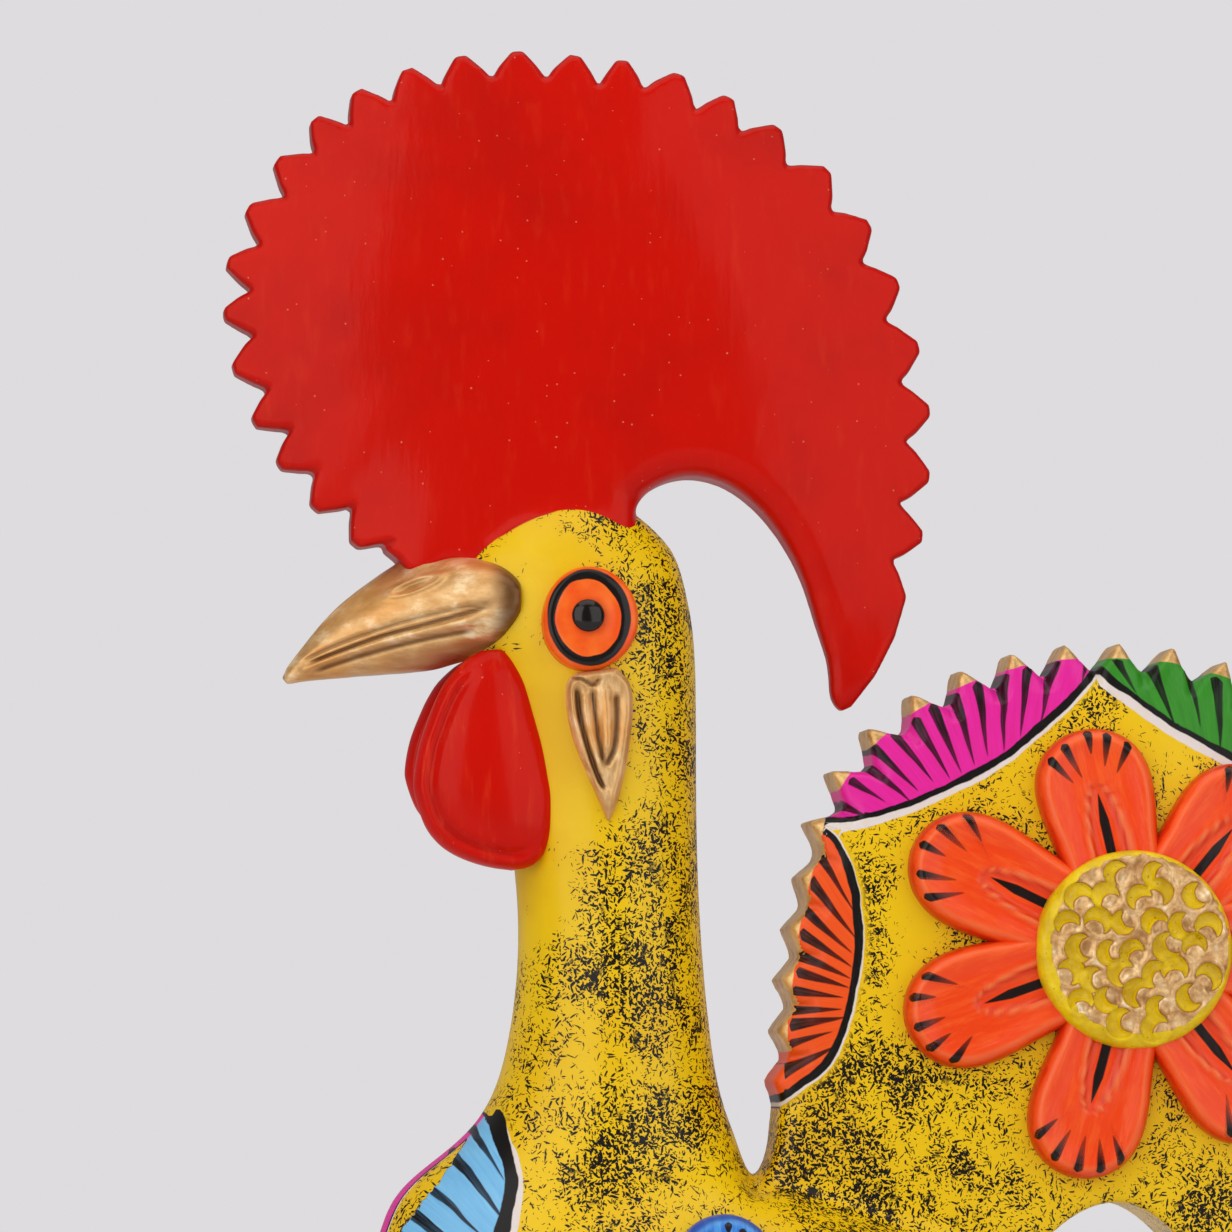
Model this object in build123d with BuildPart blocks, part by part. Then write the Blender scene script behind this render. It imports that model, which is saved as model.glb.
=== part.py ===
from build123d import *
import math
import os

# A large standing cockerel of painted earthenware, all sizes in millimetres.
# The origin is on the floor under the middle of the plinth. The bird looks
# along -X, its left side is -Y, and +Z is up.

# Joints between the fired pieces
seat_gap = 0.3
slip_clearance = 0.3
crown_gap = 0.5

# Plinth
plinth_radius = 75.0
plinth_height = 20.0
plinth_edge_radius = 5.0
foot_ring_width = 13.0
foot_recess_depth = 2.5
drain_hole_radius = 5.0
boss_height = 4.0

# Pedestal, from its foot up to the waist where the body stands on it
pedestal_height = 130.0
pedestal_foot_radius = 60.0
waist_radius = 37.5
pedestal_wall = 6.0
spigot_height = 6.0
pedestal_height_shares = (0.0, 0.115, 0.308, 0.538, 0.769, 0.923, 1.0)
pedestal_flare_shares = (1.0, 0.778, 0.289, -0.133, -0.2, -0.067, 0.0)
boss_radius_share = 0.96

# Body with its neck and head
body_length = 166.0
body_height = 303.0
body_width = 106.0
body_wall = 6.0
hollow_top_share = 0.960
crown_vent_radius = 2.0

# Height, front, back and half width of the body's sections, from the waist up
body_section_shares = (
    (0.060, -0.285, 0.252, 0.404),
    (0.140, -0.398, 0.318, 0.466),
    (0.225, -0.500, 0.388, 0.494),
    (0.300, -0.548, 0.430, 0.465),
    (0.350, -0.554, 0.405, 0.410),
    (0.395, -0.537, 0.250, 0.330),
    (0.435, -0.487, 0.060, 0.268),
    (0.475, -0.402, -0.012, 0.240),
    (0.540, -0.351, -0.043, 0.218),
    (0.650, -0.335, -0.061, 0.204),
    (0.760, -0.361, -0.066, 0.203),
    (0.850, -0.405, -0.067, 0.208),
    (0.916, -0.440, -0.086, 0.196),
    (0.955, -0.412, -0.124, 0.157),
    (0.982, -0.348, -0.168, 0.107),
    (0.997, -0.279, -0.211, 0.047),
)

# Tail
tail_radius = 86.0
tail_thickness = 36.0
tail_face_radius = 650.0
tail_wall = 6.0
tail_rim_wall = 18.0
scallop_depth = 4.5
scallop_pitch = 12.8
tail_root_x_share = 0.217
tail_root_z_share = 0.430
tail_vent_radius = 5.0
tail_vent_length = 36.0

# Places on the tail, in tail radii from its root on the bird's back
tail_middle_share = (0.680, 0.563)
tail_face_middle_share = (0.680, 0.345)
tail_rim_shares = (
    (-0.305, 0.203),
    (-0.280, 0.543),
    (-0.215, 0.893),
    (-0.055, 1.203),
    (0.230, 1.408),
    (0.580, 1.488),
    (0.970, 1.443),
    (1.290, 1.243),
    (1.530, 0.933),
    (1.625, 0.543),
    (1.635, 0.163),
    (1.600, -0.237),
    (1.510, -0.587),
)
tail_tip_share = (1.340, -0.967)
tail_tip_back_share = (1.450, -0.790)
tail_arch_shares = (
    (1.180, -0.701),
    (1.035, -0.440),
    (0.889, -0.225),
    (0.663, -0.062),
    (0.465, -0.155),
    (0.395, -0.329),
)
tail_seat_shares = (
    (0.221, -0.527),
    (-0.186, -0.353),
    (-0.390, 0.019),
)
tail_hollow_floor_share = 0.055

# Comb
comb_length = 177.0
comb_thickness = 26.0
comb_face_radius = 760.0
comb_wall = 5.0
tooth_height = 6.3
tooth_flat = 2.8
comb_seat_x_share = -0.25
comb_seat_z_share = 0.990
tenon_length = 32.0
tenon_thickness = 12.0
tenon_depth = 25.0
tenon_x_share = -0.028
comb_vent_radius = 2.5

# Places on the comb, in comb lengths from its seat on the head
comb_face_middle_share = (0.006, 0.268)
comb_hollow_middle_share = (0.008, 0.282)
comb_hollow_radius_shares = (0.395, 0.294)
comb_hollow_floor_share = 0.079
comb_front_shares = (
    (-0.253, -0.088),
    (-0.270, -0.075),
)
comb_valley_shares = (
    (-0.260, -0.064),
    (-0.318, -0.016),
    (-0.370, 0.034),
    (-0.407, 0.092),
    (-0.438, 0.150),
    (-0.459, 0.227),
    (-0.463, 0.291),
    (-0.451, 0.356),
    (-0.414, 0.424),
    (-0.373, 0.487),
    (-0.323, 0.527),
    (-0.263, 0.562),
    (-0.194, 0.585),
    (-0.121, 0.599),
    (-0.044, 0.600),
    (0.032, 0.590),
    (0.097, 0.588),
    (0.171, 0.558),
    (0.234, 0.527),
    (0.302, 0.479),
    (0.367, 0.415),
    (0.411, 0.340),
    (0.445, 0.258),
    (0.466, 0.169),
    (0.475, 0.085),
    (0.465, -0.004),
    (0.455, -0.085),
)
comb_back_shares = (
    (0.472, -0.134),
    (0.455, -0.192),
    (0.427, -0.247),
    (0.393, -0.291),
    (0.379, -0.297),
)
comb_arch_shares = (
    (0.379, -0.297),
    (0.370, -0.288),
    (0.362, -0.240),
    (0.347, -0.185),
    (0.328, -0.123),
    (0.294, -0.055),
    (0.246, 0.000),
    (0.198, 0.027),
    (0.150, 0.031),
    (0.112, 0.017),
    (0.088, -0.004),
    (0.078, -0.027),
)
comb_seat_shares = (
    (0.051, -0.085),
    (-0.076, -0.106),
    (-0.189, -0.113),
    (-0.239, -0.106),
)

# Beak: how far out, height, half height and half width of its sections
beak_length = 58.0
beak_root_height = 27.5
beak_root_width = 36.0
beak_root_x_share = -0.340
beak_root_z_share = 0.898
beak_section_shares = (
    (0.03, 0.000, 0.255, 0.417),
    (0.17, -0.003, 0.427, 0.500),
    (0.31, -0.020, 0.500, 0.472),
    (0.50, -0.045, 0.473, 0.347),
    (0.76, -0.160, 0.282, 0.194),
    (0.94, -0.270, 0.125, 0.080),
    (1.00, -0.300, 0.050, 0.034),
)

# Wattles: depth, place along X, half length and half width of the sections
wattle_height = 52.0
wattle_length = 35.0
wattle_width = 14.0
wattle_spacing = 29.0
wattle_x_share = -0.380
wattle_z_share = 0.864
wattle_section_shares = (
    (0.00, 0.080, 0.110, 0.160),
    (0.10, 0.060, 0.270, 0.340),
    (0.30, 0.020, 0.420, 0.450),
    (0.55, 0.000, 0.495, 0.500),
    (0.75, 0.000, 0.470, 0.470),
    (0.90, 0.010, 0.340, 0.330),
    (0.98, 0.015, 0.150, 0.150),
    (1.00, 0.015, 0.040, 0.040),
)

# Ear lobes
earlobe_height = 37.0
earlobe_length = 15.0
earlobe_relief = 4.0
earlobe_top_x_share = -0.214
earlobe_top_z_share = 0.852
earlobe_front_shares = ((0.0, 0.0), (-0.42, -0.10), (-0.45, -0.45), (-0.05, -0.80), (0.25, -1.0))
earlobe_back_shares = ((0.25, -1.0), (0.48, -0.60), (0.50, -0.20), (0.30, 0.02), (0.0, 0.0))

# Eyes
eye_radius = 12.2
eye_relief = 2.4
pupil_radius = 4.0
pupil_relief = 3.6
eye_x_share = -0.229
eye_z_share = 0.890

# Flower on each side of the tail
tail_flower_reach = 55.5
tail_petal_width = 27.0
tail_petal_root_width = 17.6
tail_petal_relief = 6.0
tail_disc_radius = 24.5
tail_disc_relief = 9.0
tail_disc_rim = 5.5
tail_flower_share = (0.721, 0.665)
tail_petal_angles = (101.0, 157.0, 200.5, 257.0, 310.0, 0.0, 48.0)

# Flower on each flank of the body
flank_flower_reach = 46.0
flank_petal_width = 23.0
flank_petal_root_width = 14.0
flank_petal_relief = 4.5
flank_disc_radius = 17.0
flank_disc_relief = 7.5
flank_disc_rim = 3.5
flank_depth_share = 0.494
flank_flower_x_share = -0.027
flank_flower_z_share = 0.248
flank_petal_count = 7
flank_first_angle = 90.0

# Feet in relief on the front of the pedestal
toe_length = 27.0
toe_width = 8.0
toe_relief = 4.0
shank_length = 32.0
ankle_height_share = 0.31
foot_spacing_share = 0.72
toe_angles = (-125.0, -90.0, -55.0)

pedestal_base_z = plinth_height
body_base_z = plinth_height + pedestal_height


def body_place(x_share: float, z_share: float) -> Vector:
    """A place on the body's side view, as X and Z."""
    return Vector(body_length * x_share, body_base_z + body_height * z_share)


tail_root = body_place(tail_root_x_share, tail_root_z_share)
comb_seat = body_place(comb_seat_x_share, comb_seat_z_share)
beak_root = body_place(beak_root_x_share, beak_root_z_share)
eye_middle = body_place(eye_x_share, eye_z_share)
# Enough to pass from the middle plane out through any side of the bird
side_reach = body_width


def scaled(shares: tuple, size: float, start: Vector) -> list:
    """Points of the side view from a table of shares of one size."""
    return [start + Vector(x_share * size, z_share * size) for x_share, z_share in shares]


def side_plane(middle: Vector, angle: float = 0) -> Plane:
    """A plane that faces the bird's left, turned about the given place."""
    turn = math.radians(angle)
    return Plane(
        origin=(middle.X, 0, middle.Y),
        x_dir=(math.cos(turn), 0, math.sin(turn)),
        z_dir=(0, -1, 0),
    )


def write_piece(piece: Part, name: str) -> None:
    """Label a finished piece and write it under its own name."""
    piece.label = name
    export_step(piece, f"parts/{name}.step")


def write_pair(left_piece: Part, name: str) -> None:
    """Write a piece of the left side and its mirror image on the right."""
    with BuildPart() as right:
        mirror(left_piece, about=Plane.XZ)
    write_piece(left_piece, f"{name}_left")
    write_piece(right.part, f"{name}_right")


def body_sections(grow: float) -> list:
    """Middle, height, half length and half width of the body's sections, grown all round."""
    sections = [(0, body_base_z, waist_radius + grow, waist_radius + grow)]
    for z_share, front_share, back_share, width_share in body_section_shares:
        x_middle = body_length * (front_share + back_share) / 2
        half_length = body_length * (back_share - front_share) / 2 + grow
        half_width = body_width * width_share + grow
        sections.append((x_middle, body_base_z + body_height * z_share, half_length, half_width))
    return sections


def body_form(grow: float) -> Part:
    """The left half of the body, neck and head as a closed form, grown by a relief."""
    with BuildPart() as form:
        for x_middle, height, half_length, half_width in body_sections(grow):
            with BuildSketch(Plane(origin=(x_middle, 0, height))):
                with BuildLine():
                    EllipticalCenterArc((0, 0), half_length, half_width, start_angle=180, arc_size=180)
                    Line((half_length, 0), (-half_length, 0))
                make_face()
        loft()
    return form.part


def pedestal_form(grow: float) -> Part:
    """The pedestal's bell as a turned solid, grown by a relief or shrunk by a wall."""
    flare = pedestal_foot_radius - waist_radius
    outline = [
        (waist_radius + flare * flare_share + grow, pedestal_base_z + pedestal_height * z_share)
        for z_share, flare_share in zip(pedestal_height_shares, pedestal_flare_shares)
    ]
    with BuildPart() as form:
        with BuildSketch(Plane.XZ):
            with BuildLine():
                Spline(*outline)
                Polyline(outline[-1], (0, outline[-1][1]), (0, outline[0][1]), outline[0])
            make_face()
        revolve(axis=Axis.Z)
    return form.part


def lens(middle: Vector, thickness: float, face_radius: float, grow: float) -> Part:
    """The round left face of a flat casting, as the ball whose skin it is."""
    with BuildPart() as ball:
        with Locations((middle.X, face_radius - thickness / 2, middle.Y)):
            Sphere(face_radius + grow)
    return ball.part


body_seat = body_form(seat_gap)
crown_seat = body_form(crown_gap)
pedestal_outer = pedestal_form(0)
pedestal_inner = pedestal_form(-pedestal_wall)

os.makedirs("parts", exist_ok=True)

# The plinth, with a ring to stand on and a boss that centres the pedestal
boss_radius = (pedestal_foot_radius - pedestal_wall) * boss_radius_share
with BuildPart() as plinth:
    Cylinder(plinth_radius, plinth_height, align=(Align.CENTER, Align.CENTER, Align.MIN))
    fillet(plinth.edges().group_by(Axis.Z)[-1], plinth_edge_radius)
    with BuildSketch(Plane.XY):
        Circle(plinth_radius - foot_ring_width)
    extrude(amount=foot_recess_depth, mode=Mode.SUBTRACT)
    with BuildSketch(Plane.XY.offset(plinth_height)):
        Circle(boss_radius)
    extrude(amount=boss_height)
    Hole(drain_hole_radius)
plinth.part.label = "plinth"
export_step(plinth.part, "parts/plinth.step")

# The hollow pedestal, with a spigot that enters the body's open waist
spigot_radius = waist_radius - body_wall - slip_clearance
spigot_base_z = body_base_z - pedestal_wall
with BuildPart() as pedestal:
    add(pedestal_outer)
    add(pedestal_inner, mode=Mode.SUBTRACT)
    with BuildSketch(Plane.XY.offset(spigot_base_z)):
        Circle(spigot_radius)
    extrude(amount=pedestal_wall + spigot_height)
    with BuildSketch(Plane.XY.offset(spigot_base_z)):
        Circle(spigot_radius - pedestal_wall)
    extrude(amount=pedestal_wall + spigot_height, mode=Mode.SUBTRACT)
pedestal.part.label = "pedestal"
export_step(pedestal.part, "parts/pedestal.step")

# The body in two moulded halves. Each is a C-shaped section carried up from the
# waist to the crown, where the hollow narrows to a small vent under the comb.
# The head has a slot for the comb's tenon, and the back a vent into the tail.
tenon_middle = comb_seat + Vector(comb_length * tenon_x_share, 0)
hollow_top_z = body_base_z + body_height * hollow_top_share
with BuildPart() as body_half:
    for x_middle, height, half_length, half_width in body_sections(0):
        hollow_length = half_length - body_wall if height < hollow_top_z else crown_vent_radius
        hollow_width = half_width - body_wall if height < hollow_top_z else crown_vent_radius
        with BuildSketch(Plane(origin=(x_middle, 0, height))):
            with BuildLine():
                EllipticalCenterArc((0, 0), half_length, half_width, start_angle=180, arc_size=180)
                Line((half_length, 0), (hollow_length, 0))
                EllipticalCenterArc((0, 0), hollow_length, hollow_width, start_angle=0, arc_size=-180)
                Line((-hollow_length, 0), (-half_length, 0))
            make_face()
    loft()
    with Locations((tenon_middle.X, 0, tenon_middle.Y)):
        Box(
            tenon_length + 2 * slip_clearance,
            tenon_thickness + 2 * slip_clearance,
            2 * (tenon_depth + slip_clearance),
            mode=Mode.SUBTRACT,
        )
    with Locations((tail_root.X, 0, tail_root.Y)):
        Cylinder(tail_vent_radius, tail_vent_length, mode=Mode.SUBTRACT)
write_pair(body_half.part, "body")

# The beak, whose rounded root wraps the front of the head
with BuildPart() as beak_block:
    for out_share, z_share, height_share, width_share in beak_section_shares:
        section_plane = Plane(
            origin=(
                beak_root.X - beak_length * out_share,
                0,
                beak_root.Y + beak_length * z_share,
            ),
            x_dir=(0, -1, 0),
            z_dir=(-1, 0, 0),
        )
        with BuildSketch(section_plane):
            Ellipse(beak_root_width * width_share, beak_root_height * height_share)
    loft()
with BuildPart() as beak_side:
    add(beak_block.part)
    split(bisect_by=Plane.XZ, keep=Keep.TOP)
    add(body_seat, mode=Mode.SUBTRACT)
with BuildPart() as beak:
    add(beak_side.part)
    mirror(beak_side.part, about=Plane.XZ)
beak.part.label = "beak"
export_step(beak.part, "parts/beak.step")

# The comb in two hollow halves, cut to the head's dome, with half a tenon each
comb_face_middle = comb_seat + Vector(*comb_face_middle_share) * comb_length
comb_hollow_middle = comb_seat + Vector(*comb_hollow_middle_share) * comb_length
comb_hollow_length, comb_hollow_height = (
    comb_length * radius_share for radius_share in comb_hollow_radius_shares
)
comb_hollow_drop = comb_length * (comb_hollow_middle_share[1] - comb_hollow_floor_share)
comb_valleys = scaled(comb_valley_shares, comb_length, comb_seat)


def tooth_points(valleys: list) -> list:
    """Points of a row of blunt teeth that stand on a line of valleys."""
    points = [valleys[0]]
    for start, end in zip(valleys, valleys[1:]):
        along = (end - start).normalized()
        tip = (start + end) / 2 + Vector(-along.Y, along.X) * tooth_height
        points += [tip - along * tooth_flat / 2, tip + along * tooth_flat / 2, end]
    return points


comb_front = scaled(comb_front_shares, comb_length, comb_seat)
comb_back = scaled(comb_back_shares, comb_length, comb_seat)
comb_arch = scaled(comb_arch_shares, comb_length, comb_seat)
comb_foot = scaled(comb_seat_shares, comb_length, comb_seat)
with BuildPart() as comb_hollow:
    with BuildSketch(side_plane(comb_hollow_middle)):
        Ellipse(comb_hollow_length, comb_hollow_height)
        with Locations((0, -comb_hollow_drop)):
            Rectangle(
                2 * comb_hollow_length,
                comb_hollow_height,
                align=(Align.CENTER, Align.MAX),
                mode=Mode.SUBTRACT,
            )
    extrude(amount=comb_thickness, both=True)
    add(
        lens(comb_face_middle, comb_thickness, comb_face_radius, -comb_wall),
        mode=Mode.INTERSECT,
    )
with BuildPart() as comb_half:
    with BuildSketch(Plane.XZ):
        with BuildLine():
            Polyline(*comb_front, *tooth_points(comb_valleys), *comb_back)
            Spline(*comb_arch)
            Polyline(comb_arch[-1], *comb_foot, comb_front[0])
        make_face()
    extrude(amount=comb_thickness)
    add(lens(comb_face_middle, comb_thickness, comb_face_radius, 0), mode=Mode.INTERSECT)
    add(crown_seat, mode=Mode.SUBTRACT)
    add(beak_block.part, mode=Mode.SUBTRACT)
    with Locations((tenon_middle.X, -tenon_thickness / 4, tenon_middle.Y)):
        Box(tenon_length, tenon_thickness / 2, 2 * tenon_depth)
    add(comb_hollow.part, mode=Mode.SUBTRACT)
    with Locations((tenon_middle.X, 0, tenon_middle.Y)):
        Cylinder(comb_vent_radius, 4 * tenon_depth, mode=Mode.SUBTRACT)
write_pair(comb_half.part, "comb")

# The wattles, two hanging lobes on the front of the neck
wattle_top = body_place(wattle_x_share, wattle_z_share)
with BuildPart() as wattle:
    for down_share, x_share, length_share, width_share in wattle_section_shares:
        section_plane = Plane(
            origin=(
                wattle_top.X + wattle_length * x_share,
                -wattle_spacing / 2,
                wattle_top.Y - wattle_height * down_share,
            )
        )
        with BuildSketch(section_plane):
            Ellipse(wattle_length * length_share, wattle_width * width_share)
    loft()
    add(body_seat, mode=Mode.SUBTRACT)
    add(beak_block.part, mode=Mode.SUBTRACT)
write_pair(wattle.part, "wattle")

# The ear lobes, leaves pressed on the sides of the head
earlobe_top = body_place(earlobe_top_x_share, earlobe_top_z_share)


def earlobe_points(shares: tuple) -> list:
    """One edge of the ear lobe's leaf."""
    return [
        earlobe_top + Vector(earlobe_length * x_share, earlobe_height * z_share)
        for x_share, z_share in shares
    ]


earlobe_outer = body_form(earlobe_relief)
with BuildPart() as earlobe:
    with BuildSketch(Plane.XZ):
        with BuildLine():
            Spline(*earlobe_points(earlobe_front_shares))
            Spline(*earlobe_points(earlobe_back_shares))
        make_face()
        with Locations((eye_middle.X, eye_middle.Y)):
            Circle(eye_radius + seat_gap, mode=Mode.SUBTRACT)
    extrude(amount=side_reach)
    add(earlobe_outer, mode=Mode.INTERSECT)
    add(body_seat, mode=Mode.SUBTRACT)
write_pair(earlobe.part, "earlobe")

# The eyes, a flat button with a raised pupil through its middle
eye_outer = body_form(eye_relief)
pupil_outer = body_form(pupil_relief)
with BuildPart() as eye:
    with BuildSketch(side_plane(eye_middle)):
        Circle(eye_radius)
        Circle(pupil_radius, mode=Mode.SUBTRACT)
    extrude(amount=side_reach)
    add(eye_outer, mode=Mode.INTERSECT)
    add(body_seat, mode=Mode.SUBTRACT)
write_pair(eye.part, "eye")

with BuildPart() as pupil:
    with BuildSketch(side_plane(eye_middle)):
        Circle(pupil_radius - seat_gap)
    extrude(amount=side_reach)
    add(pupil_outer, mode=Mode.INTERSECT)
    add(body_seat, mode=Mode.SUBTRACT)
write_pair(pupil.part, "pupil")

# The tail in two hollow halves with a scalloped rim, seated on the bird's back
tail_middle = tail_root + Vector(*tail_middle_share) * tail_radius
tail_face_middle = tail_root + Vector(*tail_face_middle_share) * tail_radius
tail_hollow_radius = tail_radius - tail_rim_wall
tail_hollow_drop = tail_radius * (tail_middle_share[1] - tail_hollow_floor_share)
tail_rim_points = scaled(tail_rim_shares, tail_radius, tail_root)
tail_tip = tail_root + Vector(*tail_tip_share) * tail_radius
tail_tip_back = tail_root + Vector(*tail_tip_back_share) * tail_radius
tail_arch = scaled(tail_arch_shares, tail_radius, tail_root)
tail_seat = scaled(tail_seat_shares, tail_radius, tail_root)

with BuildLine():
    rim_curve = Spline(*tail_rim_points)
scallop_count = round(rim_curve.length / scallop_pitch)
tail_valleys = [rim_curve @ (number / scallop_count) for number in range(scallop_count + 1)]


def scallop_top(start: Vector, end: Vector) -> Vector:
    """The highest point of one scallop between two valleys."""
    along = (end - start).normalized()
    return (start + end) / 2 + Vector(-along.Y, along.X) * scallop_depth


tail_ball = lens(tail_face_middle, tail_thickness, tail_face_radius, 0)
with BuildPart() as tail_hollow:
    with BuildSketch(side_plane(tail_middle)):
        Circle(tail_hollow_radius)
        with Locations((0, -tail_hollow_drop)):
            Rectangle(
                2 * tail_hollow_radius,
                tail_hollow_radius,
                align=(Align.CENTER, Align.MAX),
                mode=Mode.SUBTRACT,
            )
    extrude(amount=tail_thickness, both=True)
    add(
        lens(tail_face_middle, tail_thickness, tail_face_radius, -tail_wall),
        mode=Mode.INTERSECT,
    )
with BuildPart() as tail_half:
    with BuildSketch(Plane.XZ):
        with BuildLine():
            for start, end in zip(tail_valleys, tail_valleys[1:]):
                ThreePointArc(start, scallop_top(start, end), end)
            Spline(tail_valleys[-1], tail_tip_back, tail_tip)
            Spline(tail_tip, *tail_arch)
            Polyline(tail_arch[-1], *tail_seat, tail_valleys[0])
        make_face()
    extrude(amount=tail_thickness)
    add(tail_ball, mode=Mode.INTERSECT)
    add(tail_hollow.part, mode=Mode.SUBTRACT)
    with Locations((tail_root.X, 0, tail_root.Y)):
        Cylinder(tail_vent_radius, tail_vent_length, mode=Mode.SUBTRACT)
    add(body_seat, mode=Mode.SUBTRACT)
write_pair(tail_half.part, "tail")


def petal_sketch(middle: Vector, angle: float, root: float, reach: float, widths: tuple) -> Sketch:
    """The outline of one petal, from the disc out to its round end."""
    root_width, end_width = widths
    shoulder = reach - end_width / 2
    with BuildSketch(side_plane(middle, angle)) as petal:
        with BuildLine():
            Line((root, -root_width / 2), (shoulder, -end_width / 2))
            ThreePointArc((shoulder, -end_width / 2), (reach, 0), (shoulder, end_width / 2))
            Line((shoulder, end_width / 2), (root, root_width / 2))
            Line((root, root_width / 2), (root, -root_width / 2))
        make_face()
    return petal.sketch


def flower_disc(middle: Vector, depth: float, radius: float, relief: float, rim: float) -> Part:
    """A domed flower centre, on a face that lies at the given depth from the middle plane."""
    dome_radius = radius**2 / (2 * (relief - rim))
    with BuildPart() as disc:
        with BuildSketch(side_plane(middle)):
            Circle(radius)
        extrude(amount=side_reach)
        with Locations((middle.X, dome_radius - depth - relief, middle.Y)):
            Sphere(dome_radius, mode=Mode.INTERSECT)
    return disc.part


# The tail's flower: seven thick petals round a domed disc, on each side
tail_flower_middle = tail_root + Vector(*tail_flower_share) * tail_radius
petal_ball = lens(tail_face_middle, tail_thickness, tail_face_radius, tail_petal_relief)
for number, angle in enumerate(tail_petal_angles, start=1):
    petal_face = petal_sketch(
        tail_flower_middle,
        angle,
        tail_disc_radius + seat_gap,
        tail_flower_reach,
        (tail_petal_root_width, tail_petal_width),
    )
    with BuildPart() as tail_petal:
        extrude(petal_face, amount=tail_thickness)
        add(petal_ball, mode=Mode.INTERSECT)
        add(tail_ball, mode=Mode.SUBTRACT)
    write_pair(tail_petal.part, f"tail_petal_{number}")

with BuildPart() as tail_disc:
    add(
        flower_disc(
            tail_flower_middle,
            tail_thickness / 2,
            tail_disc_radius,
            tail_disc_relief,
            tail_disc_rim,
        )
    )
    add(tail_ball, mode=Mode.SUBTRACT)
write_pair(tail_disc.part, "tail_flower_centre")

# The flank's flower: the same, bent to the round of the body
flank_flower_middle = body_place(flank_flower_x_share, flank_flower_z_share)
flank_petal_outer = body_form(flank_petal_relief)
for number in range(flank_petal_count):
    petal_face = petal_sketch(
        flank_flower_middle,
        flank_first_angle + number * 360 / flank_petal_count,
        flank_disc_radius + seat_gap,
        flank_flower_reach,
        (flank_petal_root_width, flank_petal_width),
    )
    with BuildPart() as flank_petal:
        extrude(petal_face, amount=side_reach)
        add(flank_petal_outer, mode=Mode.INTERSECT)
        add(body_seat, mode=Mode.SUBTRACT)
    write_pair(flank_petal.part, f"flank_petal_{number + 1}")

with BuildPart() as flank_disc:
    add(
        flower_disc(
            flank_flower_middle,
            body_width * flank_depth_share,
            flank_disc_radius,
            flank_disc_relief,
            flank_disc_rim,
        )
    )
    add(body_seat, mode=Mode.SUBTRACT)
write_pair(flank_disc.part, "flank_flower_centre")

# The feet: three toes and a shank in relief on the front of the pedestal
foot_plane = Plane(
    origin=(0, -waist_radius * foot_spacing_share, pedestal_base_z + pedestal_height * ankle_height_share),
    x_dir=(0, -1, 0),
    z_dir=(-1, 0, 0),
)
with BuildPart() as foot:
    with BuildSketch(foot_plane):
        for angle in toe_angles:
            with Locations(Location((0, 0, 0), (0, 0, angle))):
                with Locations((toe_length / 2, 0)):
                    SlotCenterToCenter(toe_length, toe_width)
        with Locations((0, shank_length / 2)):
            SlotCenterToCenter(shank_length, toe_width, rotation=90)
    extrude(amount=side_reach)
    add(pedestal_form(toe_relief), mode=Mode.INTERSECT)
    add(pedestal_outer, mode=Mode.SUBTRACT)
write_pair(foot.part, "foot")
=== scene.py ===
"""Looks of a large painted earthenware cockerel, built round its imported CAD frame.

The bird looks along -X and its left side is -Y. Shapes are worked out in millimetres in the
bird's side view, where X runs along the bird and Z is up, and are made in metres.
"""

from __future__ import annotations

import logging
import math
from dataclasses import dataclass, field, replace
from enum import Enum

import bmesh
import bpy
import numpy as np
from mathutils import Matrix, Vector, noise
from mathutils.bvhtree import BVHTree


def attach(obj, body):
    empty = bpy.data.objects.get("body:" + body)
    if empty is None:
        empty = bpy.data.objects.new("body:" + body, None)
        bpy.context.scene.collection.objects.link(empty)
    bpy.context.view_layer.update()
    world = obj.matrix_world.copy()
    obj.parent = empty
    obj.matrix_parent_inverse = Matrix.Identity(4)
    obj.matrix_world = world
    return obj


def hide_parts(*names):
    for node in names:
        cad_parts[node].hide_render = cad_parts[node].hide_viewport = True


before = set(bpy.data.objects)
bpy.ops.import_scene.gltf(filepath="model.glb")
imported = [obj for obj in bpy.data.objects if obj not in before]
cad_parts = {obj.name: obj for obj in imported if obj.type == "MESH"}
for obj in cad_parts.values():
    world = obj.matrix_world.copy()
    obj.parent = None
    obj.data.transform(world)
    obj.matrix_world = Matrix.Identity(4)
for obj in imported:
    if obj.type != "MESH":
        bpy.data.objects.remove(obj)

LOG = logging.getLogger("cockerel")
MM = 0.001
Points = tuple[tuple[float, float], ...]
Socket = bpy.types.NodeSocket


class Side(Enum):
    """The bird's two sides, as the sign of Y."""

    LEFT = -1
    RIGHT = 1


def tint(red: float, green: float, blue: float) -> tuple[float, float, float, float]:
    """A display colour from 0 to 255 as the linear colour that a shader takes.

    Args:
        red, green, blue: The display colour's channels.

    Returns:
        The linear colour with an alpha of 1.
    """
    linear = []
    for channel in (red, green, blue):
        share = channel / 255.0
        linear.append(share / 12.92 if share <= 0.04045 else ((share + 0.055) / 1.055) ** 2.4)
    return (linear[0], linear[1], linear[2], 1.0)


YELLOW = tint(238, 196, 8)
DEEP_YELLOW = tint(226, 174, 3)
RED = tint(204, 9, 2)
DEEP_RED = tint(184, 5, 2)
GOLD = tint(212, 160, 88)
PALE_GOLD = tint(244, 208, 140)
WHITE = tint(226, 216, 212)
BLACK = tint(16, 11, 9)
MAGENTA = tint(228, 34, 152)
GREEN = tint(52, 138, 34)
ORANGE = tint(240, 82, 20)
SKY = tint(120, 186, 228)


# ---- curves and distances in the side view ------------------------------------------------


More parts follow.
